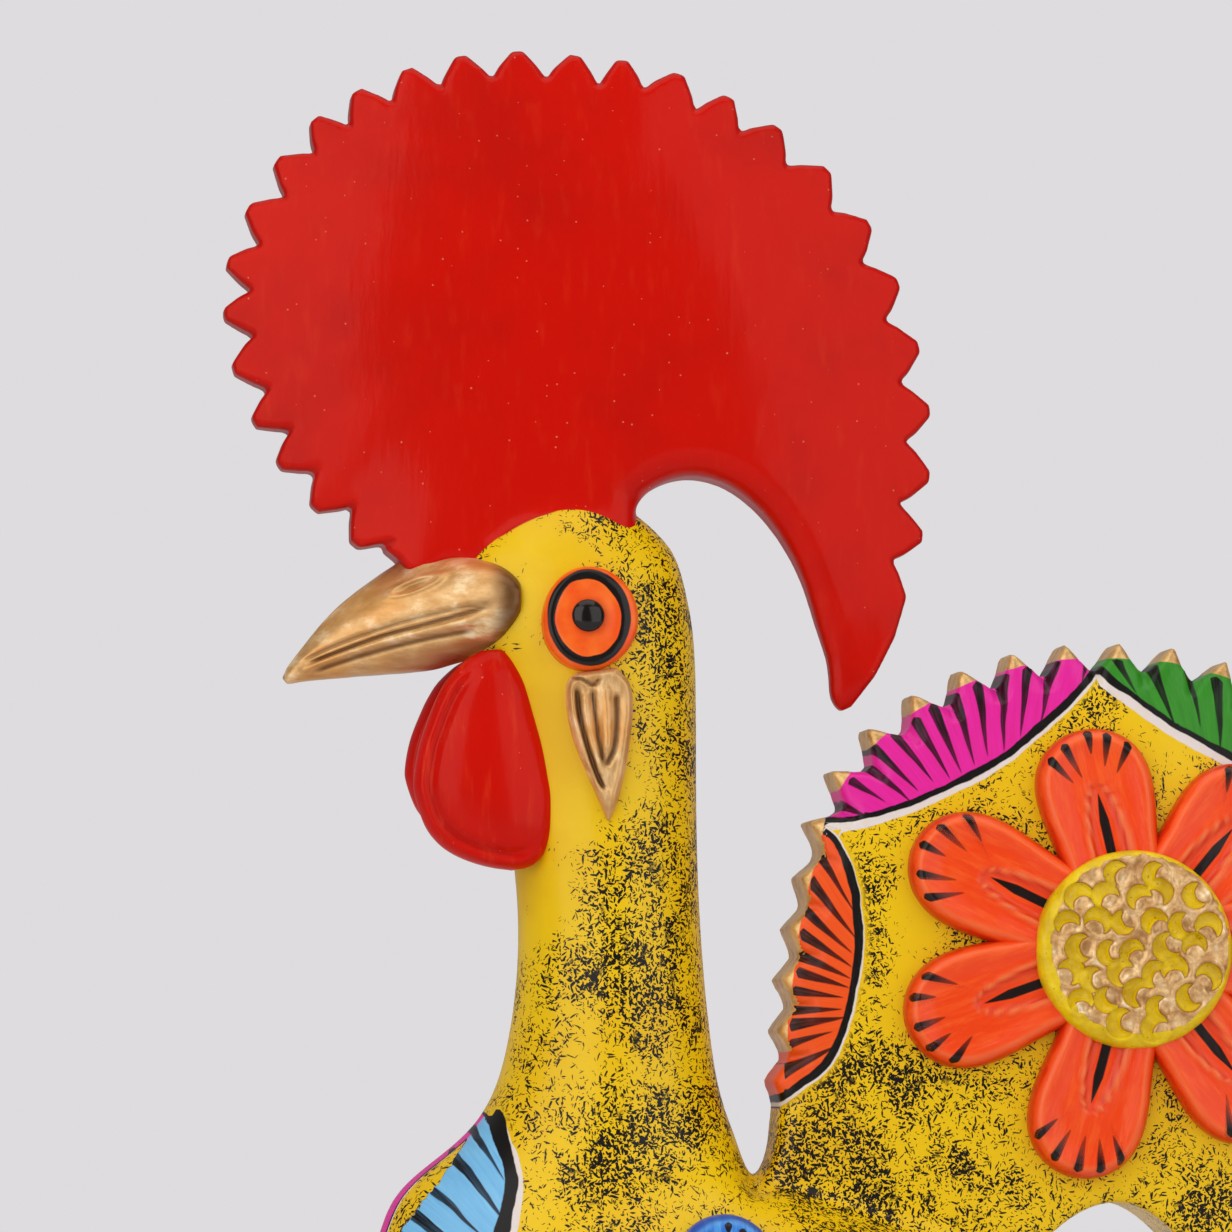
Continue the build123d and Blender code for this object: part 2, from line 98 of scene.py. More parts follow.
def smooth_line(points: Points, steps: int = 10) -> np.ndarray:
    """A curve through points, as a fine run of straight pieces.

    Args:
        points: The places that the curve goes through.
        steps: How many pieces lie between two places.

    Returns:
        The run's points, one row each.
    """
    rows = np.array(points, float)
    ends = np.vstack([2 * rows[0] - rows[1], rows, 2 * rows[-1] - rows[-2]])
    run = []
    for i in range(1, len(ends) - 2):
        a, b, c, d = ends[i - 1], ends[i], ends[i + 1], ends[i + 2]
        for step in range(steps):
            t = step / steps
            run.append(
                0.5 * ((2 * b) + (c - a) * t + (2 * a - 5 * b + 4 * c - d) * t * t + (3 * b - a - 3 * c + d) * t**3)
            )
    run.append(rows[-1])
    return np.array(run)


def line_distance(places: np.ndarray, line: np.ndarray) -> tuple[np.ndarray, np.ndarray]:
    """Distance from places to a run of straight pieces.

    Args:
        places: One row for each place.
        line: The run's points.

    Returns:
        The distances, and how far along the run the nearest point lies, from 0 to 1.
    """
    lengths = np.linalg.norm(np.diff(line, axis=0), axis=1)
    starts = np.concatenate([[0.0], np.cumsum(lengths)])
    best = np.full(len(places), 1e9)
    along = np.zeros(len(places))
    for i in range(len(line) - 1):
        run = line[i + 1] - line[i]
        t = np.clip(((places - line[i]) @ run) / max(float(run @ run), 1e-9), 0, 1)
        gap = np.linalg.norm(places - (line[i] + t[:, None] * run), axis=1)
        nearer = gap < best
        best = np.where(nearer, gap, best)
        along = np.where(nearer, (starts[i] + t * lengths[i]) / starts[-1], along)
    return best, along


def inside_loop(places: np.ndarray, loop: np.ndarray) -> np.ndarray:
    """Whether places lie inside a closed loop.

    Args:
        places: One row for each place.
        loop: The loop's points in order.

    Returns:
        One truth value for each place.
    """
    inside = np.zeros(len(places), bool)
    x, z = places[:, 0], places[:, 1]
    for (x0, z0), (x1, z1) in zip(loop, np.roll(loop, -1, axis=0)):
        if z0 == z1:
            continue
        crosses = (z0 > z) != (z1 > z)
        inside ^= crosses & (x < (x1 - x0) * (z - z0) / (z1 - z0) + x0)
    return inside


def smooth_step(low: float, high: float, value: np.ndarray) -> np.ndarray:
    """A soft ramp from 0 at low to 1 at high."""
    t = np.clip((value - low) / (high - low), 0, 1)
    return t * t * (3 - 2 * t)


def bell(gap: np.ndarray, width: float) -> np.ndarray:
    """A bump that is 1 where the gap is 0 and fades over a width."""
    return np.exp(-((gap / width) ** 2))


def mound(x: np.ndarray, z: np.ndarray, middle: tuple[float, float], size: tuple[float, float]) -> np.ndarray:
    """A bump that is 1 at its middle and fades over its size."""
    return np.exp(-(((x - middle[0]) / size[0]) ** 2) - ((z - middle[1]) / size[1]) ** 2)


def rounding(rise: np.ndarray, power: float = 2.0) -> np.ndarray:
    """How high a rounded edge still is while rise goes from 0 to 1."""
    return np.sqrt(np.clip(1 - rise**power, 0, 1))


def uneven(x: np.ndarray, y: np.ndarray, z: np.ndarray) -> np.ndarray:
    """Slow noise from -1 to 1 at places."""
    return np.array([noise.noise(Vector(place)) for place in np.broadcast(x, y, z)])


# ---- meshes ---------------------------------------------------------------------------------


def places_of(mesh: bpy.types.Mesh) -> np.ndarray:
    """A mesh's vertices in millimetres, one row each."""
    rows = np.zeros(len(mesh.vertices) * 3, np.float32)
    mesh.vertices.foreach_get("co", rows)
    return rows.reshape(-1, 3).astype(float) / MM


def move_vertices(mesh: bpy.types.Mesh, places: np.ndarray) -> None:
    """Puts a mesh's vertices at places given in millimetres."""
    mesh.vertices.foreach_set("co", (places * MM).astype(np.float32).ravel())
    mesh.update()


def store(mesh: bpy.types.Mesh, name: str, rows: np.ndarray) -> None:
    """Keeps four numbers for each vertex under a name that a finish reads.

    Args:
        mesh: The mesh that carries them.
        name: The attribute's name.
        rows: One row of four numbers for each vertex.
    """
    layer = mesh.attributes.new(name, "FLOAT_COLOR", "POINT")
    layer.data.foreach_set("color", rows.astype(np.float32).ravel())


def shade_smooth(mesh: bpy.types.Mesh) -> None:
    """Shades all of a mesh smooth."""
    mesh.polygons.foreach_set("use_smooth", [True] * len(mesh.polygons))


def as_piece(bm: bmesh.types.BMesh, name: str) -> bpy.types.Object:
    """A shaped bmesh as a smooth piece in the scene.

    Args:
        bm: The shape, which is freed.
        name: The piece's name.

    Returns:
        The new object, at the origin.
    """
    mesh = bpy.data.meshes.new(name)
    bm.to_mesh(mesh)
    bm.free()
    shade_smooth(mesh)
    piece = bpy.data.objects.new(name, mesh)
    bpy.context.scene.collection.objects.link(piece)
    return piece


def node_copy(name: str) -> bmesh.types.BMesh:
    """A merged copy of a CAD node's mesh."""
    bm = bmesh.new()
    bm.from_mesh(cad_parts[name].data)
    bmesh.ops.remove_doubles(bm, verts=bm.verts, dist=0.00002)
    return bm


def keep_faces(bm: bmesh.types.BMesh, wanted: list) -> None:
    """Deletes every face that isn't wanted, and what it leaves loose."""
    kept = set(wanted)
    unwanted = [face for face in bm.faces if face not in kept]
    bmesh.ops.delete(bm, geom=unwanted, context="FACES")
    loose = [vert for vert in bm.verts if not vert.link_faces]
    bmesh.ops.delete(bm, geom=loose, context="VERTS")


def close_up(bm: bmesh.types.BMesh) -> None:
    """Fills every open loop and turns the faces outwards."""
    open_edges = [edge for edge in bm.edges if edge.is_boundary]
    bmesh.ops.holes_fill(bm, edges=open_edges, sides=0)
    bmesh.ops.recalc_face_normals(bm, faces=bm.faces)


def remeshed(piece: bpy.types.Object, voxel: float) -> bpy.types.Object:
    """One closed skin round everything in a piece.

    Args:
        piece: The piece, whose mesh is exchanged.
        voxel: The size of the skin's squares in millimetres.

    Returns:
        The same piece.
    """
    modifier = piece.modifiers.new("skin", "REMESH")
    modifier.mode = "VOXEL"
    modifier.voxel_size = voxel * MM
    modifier.use_smooth_shade = True
    graph = bpy.context.evaluated_depsgraph_get()
    mesh = bpy.data.meshes.new_from_object(piece.evaluated_get(graph))
    piece.modifiers.clear()
    piece.data = mesh
    return piece


def soften(mesh: bpy.types.Mesh, chosen: np.ndarray, times: int, strength: float = 0.5) -> None:
    """Evens out the chosen vertices.

    Args:
        mesh: The mesh to work on.
        chosen: One truth value for each vertex.
        times: How often they are evened out.
        strength: How far each goes towards its neighbours' middle.
    """
    edges = np.zeros(len(mesh.edges) * 2, np.int64)
    mesh.edges.foreach_get("vertices", edges)
    first, second = edges.reshape(-1, 2).T
    count = np.bincount(np.concatenate([first, second]), minlength=len(mesh.vertices)).astype(float)
    places = places_of(mesh)
    weight = (chosen.astype(float) * strength)[:, None]
    for _ in range(times):
        total = np.zeros_like(places)
        for axis in range(3):
            total[:, axis] = np.bincount(first, places[second, axis], len(places))
            total[:, axis] += np.bincount(second, places[first, axis], len(places))
        places = places + weight * (total / count[:, None] - places)
    move_vertices(mesh, places)


def tree_of(piece: bpy.types.Object) -> BVHTree:
    """A search tree of a piece's surface, in metres."""
    bm = bmesh.new()
    bm.from_mesh(piece.data)
    tree = BVHTree.FromBMesh(bm)
    bm.free()
    return tree


def dress(piece: bpy.types.Object, finish: bpy.types.Material, slot: str, *nodes: str) -> bpy.types.Object:
    """Gives a piece its finish, hangs it under the root body and hides the CAD nodes that it stands for.

    Args:
        piece: The finished piece.
        finish: Its material.
        slot: Not used.
        nodes: The CAD nodes that it stands for.

    Returns:
        The same piece.
    """
    piece.data.materials.clear()
    piece.data.materials.append(finish)
    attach(piece, "root")
    if nodes:
        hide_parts(*nodes)
    LOG.info("%s: %d faces", piece.name, len(piece.data.polygons))
    return piece


def slab(name: str, push: tuple[float, float], reach: float) -> tuple[bmesh.types.BMesh, np.ndarray]:
    """The two outer faces of a flat casting, joined round their edge.

    Args:
        name: The CAD nodes' name without its side.
        push: How far its seated edge is sunk into the body, in millimetres.
        reach: How near a vertex is to the body's wall to be sunk with it, in millimetres.

    Returns:
        The closed casting, and the pieces of its free outline in the side view.
    """
    casting = node_copy(f"{name}_left")
    keep_faces(casting, [face for face in casting.faces if face.normal.y < -0.5])
    body = tree_of(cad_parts["body_left"])
    seated = set()
    for vert in casting.verts:
        distance = body.find_nearest(vert.co)[3]
        if vert.is_boundary and distance is not None and distance < reach * MM:
            seated.add(vert)
    outline = [
        [[vert.co.x / MM, vert.co.z / MM] for vert in edge.verts]
        for edge in casting.edges
        if edge.is_boundary and not seated.intersection(edge.verts)
    ]
    for vert in seated:
        vert.co.x += push[0] * MM
        vert.co.z += push[1] * MM
    grown = bmesh.ops.extrude_face_region(casting, geom=casting.faces[:], use_keep_orig=True)
    for item in grown["geom"]:
        if isinstance(item, bmesh.types.BMVert):
            item.co.y = -item.co.y
    bmesh.ops.recalc_face_normals(casting, faces=casting.faces)
    return casting, np.array(outline)


def add_shape(target: bmesh.types.BMesh, shape: bmesh.types.BMesh) -> None:
    """Puts one shape into another and frees it."""
    mesh = bpy.data.meshes.new("shape")
    shape.to_mesh(mesh)
    shape.free()
    target.from_mesh(mesh)
    bpy.data.meshes.remove(mesh)


def edge_distance(places: np.ndarray, outline: np.ndarray) -> np.ndarray:
    """Distance in the side view from places to the pieces of an outline."""
    best = np.full(len(places), 1e9)
    for start, end in outline:
        run = end - start
        t = np.clip(((places - start) @ run) / max(float(run @ run), 1e-9), 0, 1)
        best = np.minimum(best, np.linalg.norm(places - (start + t[:, None] * run), axis=1))
    return best


def round_edge(places: np.ndarray, from_edge: np.ndarray, radius: object, thin: object) -> np.ndarray:
    """Rounds a flat casting towards its edge.

    Args:
        places: The casting's vertices, which are changed.
        from_edge: Their distances from its outline.
        radius: How far in the rounding starts.
        thin: How thick it stays at the edge, as a share.

    Returns:
        The changed vertices.
    """
    rise = 1 - np.clip(from_edge / radius, 0, 1)
    places[:, 1] *= thin + (1 - thin) * rounding(rise)
    return places


def close_back(piece: bpy.types.Object, side: Side, depth: float) -> None:
    """Carries a sheet's edge down into the skin and closes its back.

    Args:
        piece: The shape, an open sheet.
        side: The side of the bird that it lies on.
        depth: How far its edge is carried, in millimetres.
    """
    bm = bmesh.new()
    bm.from_mesh(piece.data)
    bmesh.ops.remove_doubles(bm, verts=bm.verts, dist=0.00001)
    grown = bmesh.ops.extrude_edge_only(bm, edges=[edge for edge in bm.edges if edge.is_boundary])
    for item in grown["geom"]:
        if isinstance(item, bmesh.types.BMVert):
            item.co.y -= side.value * depth * MM
    close_up(bm)
    bm.to_mesh(piece.data)
    bm.free()
    shade_smooth(piece.data)


# ---- finishes -------------------------------------------------------------------------------


class Mixer:
    """Builds a tree of shader nodes step by step."""

    def __init__(self, tree: bpy.types.NodeTree) -> None:
        """Takes the tree that is built."""
        self.tree = tree

    def node(self, kind: str, **settings: object) -> bpy.types.Node:
        """A new shader node with its settings."""
        node = self.tree.nodes.new(f"ShaderNode{kind}")
        for name, value in settings.items():
            setattr(node, name, value)
        return node

    def put(self, socket: Socket, value: object) -> None:
        """Links a socket to another one, or sets it."""
        if isinstance(value, bpy.types.NodeSocket):
            self.tree.links.new(value, socket)
        else:
            socket.default_value = value

    def split(self, vector: Socket) -> tuple[Socket, Socket, Socket]:
        """A vector's three numbers."""
        node = self.node("SeparateXYZ")
        self.put(node.inputs[0], vector)
        return node.outputs[0], node.outputs[1], node.outputs[2]

    def join(self, x: object, y: object, z: object) -> Socket:
        """A vector of three numbers."""
        node = self.node("CombineXYZ")
        for socket, value in zip(node.inputs, (x, y, z)):
            self.put(socket, value)
        return node.outputs[0]

    def sum(self, operation: str, a: object, b: object = 0.0, clamp: bool = False) -> Socket:
        """One step of arithmetic.

        Args:
            operation: The Math node's operation.
            a, b: Numbers or sockets.
            clamp: Whether the result is kept from 0 to 1.

        Returns:
            The result.
        """
        node = self.node("Math", operation=operation, use_clamp=clamp)
        self.put(node.inputs[0], a)
        self.put(node.inputs[1], b)
        return node.outputs[0]

    def times(self, a: object, b: object, clamp: bool = False) -> Socket:
        """Two numbers multiplied."""
        return self.sum("MULTIPLY", a, b, clamp)

    def plus(self, a: object, b: object, clamp: bool = False) -> Socket:
        """Two numbers added."""
        return self.sum("ADD", a, b, clamp)

    def minus(self, a: object, b: object, clamp: bool = False) -> Socket:
        """One number less another."""
        return self.sum("SUBTRACT", a, b, clamp)

    def absolute(self, a: object) -> Socket:
        """A number without its sign."""
        return self.sum("ABSOLUTE", a)

    def power(self, a: object, b: float) -> Socket:
        """A number raised to a power."""
        return self.sum("POWER", a, b)

    def sway(self, chance: object, width: float) -> Socket:
        """A number from 0 to 1 as one that swings about 0 over a width."""
        return self.times(self.minus(chance, 0.5), width)

    def length(self, x: object, y: object) -> Socket:
        """How far a flat place lies from the middle."""
        return self.sum("SQRT", self.plus(self.power(x, 2.0), self.power(y, 2.0)))

    def ramp(
        self, value: Socket, low: float, high: float, start: float = 0.0, end: float = 1.0, kind: str = "SMOOTHSTEP"
    ) -> Socket:
        """A change from start to end while value goes from low to high."""
        node = self.node("MapRange", interpolation_type=kind)
        for socket, number in zip(node.inputs[:5], (value, low, high, start, end)):
            self.put(socket, number)
        return node.outputs[0]

    def under(self, value: Socket, limit: object, soft: float) -> Socket:
        """1 where value is under a limit, with a soft edge.

        Args:
            value: The number that is looked at.
            limit: A number or socket.
            soft: The edge's width.

        Returns:
            A mask from 0 to 1.
        """
        return self.plus(self.sum("DIVIDE", self.minus(limit, value), soft), 0.5, clamp=True)


class Recipe(Mixer):
    """A material that is mixed step by step."""

    def __init__(self, name: str) -> None:
        """Starts an empty material with one Principled shader."""
        self.material = bpy.data.materials.new(name)
        self.material.use_nodes = True
        super().__init__(self.material.node_tree)
        self.shader = self.tree.nodes["Principled BSDF"]
        self._place: Socket | None = None

    def place(self) -> Socket:
        """The place on the piece, in metres."""
        if self._place is None:
            self._place = self.node("TexCoord").outputs["Object"]
        return self._place

    def stored(self, name: str) -> tuple[Socket, Socket, Socket, Socket, Socket]:
        """Numbers kept on the mesh: the colour, its three channels and its alpha."""
        node = self.node("Attribute", attribute_name=name)
        return (node.outputs["Color"], *self.split(node.outputs["Color"]), node.outputs["Alpha"])

    def grain(self, scale: float, detail: float = 3.0, roughness: float = 0.5, place: Socket | None = None) -> Socket:
        """Noise from 0 to 1.

        Args:
            scale: How many waves there are in a metre.
            detail: How many finer layers it has.
            roughness: How strong they are.
            place: Where it is read, or the place on the piece.

        Returns:
            The noise.
        """
        node = self.node("TexNoise")
        self.put(node.inputs["Vector"], place if place is not None else self.place())
        for name, value in (("Scale", scale), ("Detail", detail), ("Roughness", roughness)):
            node.inputs[name].default_value = value
        return node.outputs["Fac"]

    def stretched(self, x: float, y: float, z: float) -> Socket:
        """The place on the piece, stretched along the axes."""
        node = self.node("Mapping")
        self.put(node.inputs["Vector"], self.place())
        node.inputs["Scale"].default_value = (x, y, z)
        return node.outputs[0]

    def chance(self, value: Socket) -> Socket:
        """A number from 0 to 1 that is fixed for each whole value."""
        node = self.node("TexWhiteNoise", noise_dimensions="1D")
        self.put(node.inputs["W"], value)
        return node.outputs["Value"]

    def specks(self, scale: float, size: float, share: float) -> Socket:
        """Small round specks strewn at random.

        Args:
            scale: How many places for one there are beside each other in a metre.
            size: Its radius, as a share of that spacing.
            share: How many of the places have one.

        Returns:
            Where they are, from 0 to 1.
        """
        cells = self.node("TexVoronoi")
        self.put(cells.inputs["Vector"], self.place())
        cells.inputs["Scale"].default_value = scale
        luck, more_luck, _ = self.split(cells.outputs["Color"])
        spot = self.under(cells.outputs["Distance"], self.times(size, self.plus(0.5, more_luck)), 0.03)
        return self.times(spot, self.sum("LESS_THAN", luck, share))

    def over(self, share: object, below: object, above: object, mode: str = "MIX") -> Socket:
        """One colour laid over another.

        Args:
            share: How much of the upper one shows.
            below, above: Colours or sockets.
            mode: How the two are mixed.

        Returns:
            The mixed colour.
        """
        return self.mixed(self.node("Mix", data_type="RGBA", blend_type=mode), share, below, above)

    def blend(self, share: object, below: object, above: object) -> Socket:
        """A number between two others."""
        return self.mixed(self.node("Mix"), share, below, above)

    def mixed(self, node: bpy.types.Node, share: object, below: object, above: object) -> Socket:
        """What a Mix node makes of two values."""
        for name, value in (("Factor", share), ("A", below), ("B", above)):
            self.put(node.inputs[name], value)
        return node.outputs["Result"]

    def relief(self, height: Socket, depth: float, strength: float = 1.0, on: Socket | None = None) -> Socket:
        """Fine unevenness.

        Args:
            height: The height from 0 to 1.
            depth: What 1 stands for, in millimetres.
            strength: How much of it shows.
            on: Unevenness that it adds to.

        Returns:
            The bent normal.
        """
        node = self.node("Bump")
        node.inputs["Strength"].default_value = strength
        node.inputs["Distance"].default_value = depth * MM
        self.put(node.inputs["Height"], height)
        if on is not None:
            self.put(node.inputs["Normal"], on)
        return node.outputs[0]

    def glaze(
        self, colour: object, roughness: object, normal: Socket, metal: object = 0.0, coat: float = 0.15
    ) -> bpy.types.Material:
        """Finishes the material with a coat of varnish.

        Args:
            colour: The paint's colour.
            roughness: How matt the paint is.
            normal: Its unevenness.
            metal: Where it is gilded.
            coat: How much varnish lies over it.

        Returns:
            The material.
        """
        for name, value in (
            ("Base Color", colour), ("Roughness", roughness), ("Metallic", metal), ("Normal", normal),
            ("Coat Normal", normal), ("Coat Weight", coat), ("Coat Roughness", 0.10), ("Specular IOR Level", 0.2),
        ):
            self.put(self.shader.inputs[name], value)
        return self.material


@dataclass(frozen=True)
class SpeckledPaint:
    """Yellow slip with dabs of black, red round the comb, and fans with gilded tips."""

    brush_relief: float = 0.10
    dab_layers: tuple[tuple[float, float], ...] = ((520.0, 0.0), (760.0, 3.7), (1150.0, 9.1))

    def flat_place(self, recipe: Recipe) -> Socket:
        """The place on the surface seen square on: from the side, the end or the top."""
        x, y, z = recipe.split(recipe.place())
        facing = recipe.node("TexCoord").outputs["Normal"]
        across, aside, upward = (recipe.absolute(part) for part in recipe.split(facing))
        is_end = recipe.sum("GREATER_THAN", across, recipe.times(aside, 1.3))
        is_top = recipe.sum("GREATER_THAN", upward, 0.78)
        first = recipe.blend(is_end, x, y)
        second = recipe.blend(is_top, z, y)
        return recipe.join(recipe.blend(is_top, first, x), second, 0.0)

    def dabs(self, recipe: Recipe, place: Socket, scale: float, shift: float, room: Socket) -> Socket:
        """One layer of short thin dabs, each turned its own way.

        Args:
            recipe: The material that is mixed.
            place: The flat place on the surface.
            scale: How many dabs lie beside each other in a metre.
            shift: What tells this layer from the others.
            room: How many of them there are, from 0 to 1.

        Returns:
            Where they are, from 0 to 1.
        """
        cells = recipe.node("TexVoronoi", voronoi_dimensions="2D")
        moved = recipe.node("VectorMath", operation="ADD")
        recipe.put(moved.inputs[0], place)
        moved.inputs[1].default_value = (shift, shift * 0.6, 0.0)
        recipe.put(cells.inputs["Vector"], moved.outputs[0])
        cells.inputs["Scale"].default_value = scale
        gap = recipe.node("VectorMath", operation="SUBTRACT")
        recipe.put(gap.inputs[0], moved.outputs[0])
        recipe.put(gap.inputs[1], cells.outputs["Position"])
        dx, dy, _ = recipe.split(gap.outputs[0])
        turn_luck, size_luck, keep_luck = recipe.split(cells.outputs["Color"])
        turn = recipe.times(turn_luck, math.pi)
        cosine, sine = recipe.sum("COSINE", turn), recipe.sum("SINE", turn)
        along = recipe.plus(recipe.times(dx, cosine), recipe.times(dy, sine))
        across = recipe.minus(recipe.times(dy, cosine), recipe.times(dx, sine))
        along = recipe.absolute(recipe.times(along, scale))
        across = recipe.absolute(recipe.times(across, scale))
        half_length = recipe.plus(0.22, recipe.times(size_luck, 0.62))
        taper = recipe.minus(1.0, recipe.power(recipe.sum("DIVIDE", along, half_length), 2.0), clamp=True)
        width = recipe.times(taper, recipe.plus(0.05, recipe.times(room, 0.17)))
        mask = recipe.under(across, width, 0.05)
        mask = recipe.times(mask, recipe.ramp(taper, 0.0, 0.12))
        return recipe.times(mask, recipe.sum("LESS_THAN", keep_luck, room))

    def speckle(self, recipe: Recipe, density: Socket) -> Socket:
        """Short thin dabs of black in clusters.

        Args:
            recipe: The material that is mixed.
            density: How close they lie, from 0 to 1.

        Returns:
            Where they are, from 0 to 1.
        """
        place = self.flat_place(recipe)
        crowd = recipe.ramp(recipe.grain(60.0, 5.0, 0.7), 0.32, 0.68, 0.05, 0.88)
        room = recipe.minus(recipe.plus(density, crowd), 0.42, clamp=True)
        blots = recipe.ramp(recipe.grain(300.0, 5.0, 0.7), 0.56, 0.59)
        mask = recipe.times(blots, recipe.ramp(room, 0.58, 0.92))
        for scale, shift in self.dab_layers:
            layer = self.dabs(recipe, place, scale, shift, room)
            mask = recipe.sum("MAXIMUM", mask, layer)
        return mask

    def strokes(self, recipe: Recipe, numbers: tuple) -> tuple[Socket, Socket]:
        """Tapering brush strokes across a fan.

        Args:
            recipe: The material that is mixed.
            numbers: The fan's stored numbers: stroke count, depth, spacing and band width.

        Returns:
            Where the strokes are, and how black they are.
        """
        _, count, depth, spacing, _ = numbers
        wander = recipe.sway(recipe.grain(60.0, 2.0), 0.35)
        lane = recipe.plus(count, wander)
        which = recipe.sum("FLOOR", lane)
        luck = recipe.chance(which)
        more_luck = recipe.chance(recipe.plus(which, 17.3))
        centre = recipe.plus(0.5, recipe.sway(luck, 0.24))
        aside = recipe.absolute(recipe.minus(recipe.sum("FRACT", lane), centre))
        aside = recipe.times(aside, spacing)
        reach = recipe.plus(0.84, recipe.times(more_luck, 0.18))
        start = recipe.plus(-0.04, recipe.times(luck, 0.08))
        rest = recipe.minus(1.0, recipe.sum("DIVIDE", depth, reach), clamp=True)
        taper = recipe.power(rest, 0.85)
        head = recipe.ramp(recipe.minus(depth, start), 0.0, 0.06)
        head = recipe.power(head, 0.5)
        half = recipe.times(recipe.times(taper, head), 1.5)
        half = recipe.times(half, recipe.plus(0.8, recipe.times(more_luck, 0.4)))
        mask = recipe.under(aside, half, 0.28)
        mask = recipe.times(mask, recipe.ramp(half, 0.02, 0.16))
        black = recipe.ramp(depth, 0.16, 0.62, 1.0, 0.35)
        return mask, black

    def material(self) -> bpy.types.Material:
        """The finished material."""
        recipe = Recipe("speckled_paint")
        edges = recipe.stored("edges")
        fans = recipe.stored("fans")
        fan_colour, _, _, _, line_half = recipe.stored("fan_colour")
        wobble = recipe.sway(recipe.grain(170.0, 3.0), 1.1)
        from_line = recipe.plus(edges[1], wobble)
        from_rim = recipe.plus(edges[2], recipe.times(wobble, 0.8))
        # Yellow ground, thicker and thinner under the brush
        cloud = recipe.grain(30.0, 4.0, 0.6)
        ground = recipe.over(recipe.ramp(cloud, 0.3, 0.75, 0.0, 0.8), YELLOW, DEEP_YELLOW)
        dabs = self.speckle(recipe, edges[3])
        clean = recipe.ramp(from_line, 0.6, 3.0)
        ground = recipe.over(recipe.times(dabs, clean), ground, BLACK)
        # White band outside a fan's line
        band = recipe.under(from_line, fans[4], 0.25)
        streak = recipe.ramp(recipe.grain(420.0, 2.0, 0.6), 0.35, 0.75, 1.0, 0.86)
        ground = recipe.over(recipe.times(band, streak), ground, WHITE)
        # The fan itself, brushed from its rim to its line
        brushed = recipe.join(recipe.times(fans[1], 5.0), recipe.times(fans[2], 1.2), 0.0)
        hairs = recipe.grain(1.6, 5.0, 0.65, place=brushed)
        fan = recipe.over(recipe.ramp(hairs, 0.48, 0.74, 0.0, 0.30), fan_colour, fan_colour, "SCREEN")
        fan = recipe.over(recipe.ramp(hairs, 0.50, 0.28, 0.0, 0.25), fan, fan_colour, "MULTIPLY")
        mask, black = self.strokes(recipe, fans)
        thin_paint = recipe.over(1.0, fan, (0.10, 0.06, 0.08, 1.0), "MULTIPLY")
        stroke_colour = recipe.over(black, thin_paint, BLACK)
        opaque = recipe.times(mask, recipe.ramp(hairs, 0.25, 0.6, 0.82, 1.0))
        fan = recipe.over(opaque, fan, stroke_colour)
        in_fan = recipe.under(from_line, 0.0, 0.22)
        colour = recipe.over(in_fan, ground, fan)
        # The line along the fan's inner edge
        line_gap = recipe.absolute(recipe.plus(from_line, recipe.times(line_half, 0.5)))
        line_width = recipe.ramp(recipe.grain(60.0, 2.0), 0.3, 0.7, 0.75, 1.15)
        line = recipe.under(line_gap, recipe.times(line_width, line_half), 0.25)
        colour = recipe.over(line, colour, BLACK)
        # Gilded tips of the scallops
        gilt = recipe.under(from_rim, 0.0, 0.25)
        rub = recipe.grain(240.0, 4.0, 0.7)
        gold = recipe.over(recipe.ramp(rub, 0.25, 0.6), tint(186, 134, 74), tint(232, 188, 122))
        gold = recipe.over(recipe.ramp(rub, 0.58, 0.78), gold, PALE_GOLD)
        colour = recipe.over(gilt, colour, gold)
        # Red round the foot of the comb
        crown = recipe.under(recipe.times(edges[4], -1.0), recipe.times(wobble, 0.6), 0.3)
        red = recipe.over(recipe.ramp(cloud, 0.3, 0.7), RED, DEEP_RED)
        colour = recipe.over(crown, colour, red)
        strokes_height = recipe.plus(recipe.grain(150.0, 4.0, 0.55), recipe.times(opaque, 0.25))
        broad = recipe.relief(recipe.grain(28.0, 2.0, 0.5), 0.8, 0.5)
        normal = recipe.relief(strokes_height, self.brush_relief, 0.8, on=broad)
        rough = recipe.blend(gilt, recipe.ramp(cloud, 0.2, 0.8, 0.30, 0.42), 0.36)
        return recipe.glaze(colour, rough, normal, recipe.times(gilt, 0.5), 0.12)


@dataclass(frozen=True)
class RedLacquer:
    """Deep glossy red with faint brush streaks, and painted shade along the edges and in the grooves."""

    name: str = "red_lacquer"
    streak_direction: tuple[float, float, float] = (1.0, 1.0, 0.22)
    streaks: float = 320.0
    streak_share: float = 0.16

    def material(self) -> bpy.types.Material:
        """The finished material."""
        recipe = Recipe(self.name)
        cloud = recipe.grain(22.0, 4.0, 0.6)
        hairs = recipe.grain(self.streaks, 4.0, 0.62, place=recipe.stretched(*self.streak_direction))
        colour = recipe.over(recipe.ramp(cloud, 0.42, 0.72, 0.0, 0.8), RED, DEEP_RED)
        colour = recipe.over(recipe.ramp(hairs, 0.52, 0.78, 0.0, self.streak_share), colour, tint(226, 66, 34))
        edge = recipe.stored("edges")[1]
        # Painted shade: darker red near the comb's rounded edges and in the wattle's groove
        painted_rim_and_groove_shade = recipe.ramp(recipe.plus(edge, recipe.times(cloud, 1.0)), 0.5, 1.9, 0.3, 0.0)
        colour = recipe.over(painted_rim_and_groove_shade, colour, tint(96, 4, 3))
        dust = recipe.specks(420.0, 0.075, 0.32)
        colour = recipe.over(recipe.times(dust, 0.6), colour, tint(232, 130, 100))
        broad = recipe.relief(recipe.grain(16.0, 2.0, 0.5), 1.0, 0.5)
        normal = recipe.relief(recipe.plus(hairs, recipe.times(dust, 0.6)), 0.10, 0.7, on=broad)
        recipe.shader.inputs["Specular Tint"].default_value = tint(255, 176, 128)
        return recipe.glaze(colour, recipe.ramp(cloud, 0.2, 0.8, 0.30, 0.40), normal, 0.0, 0.16)


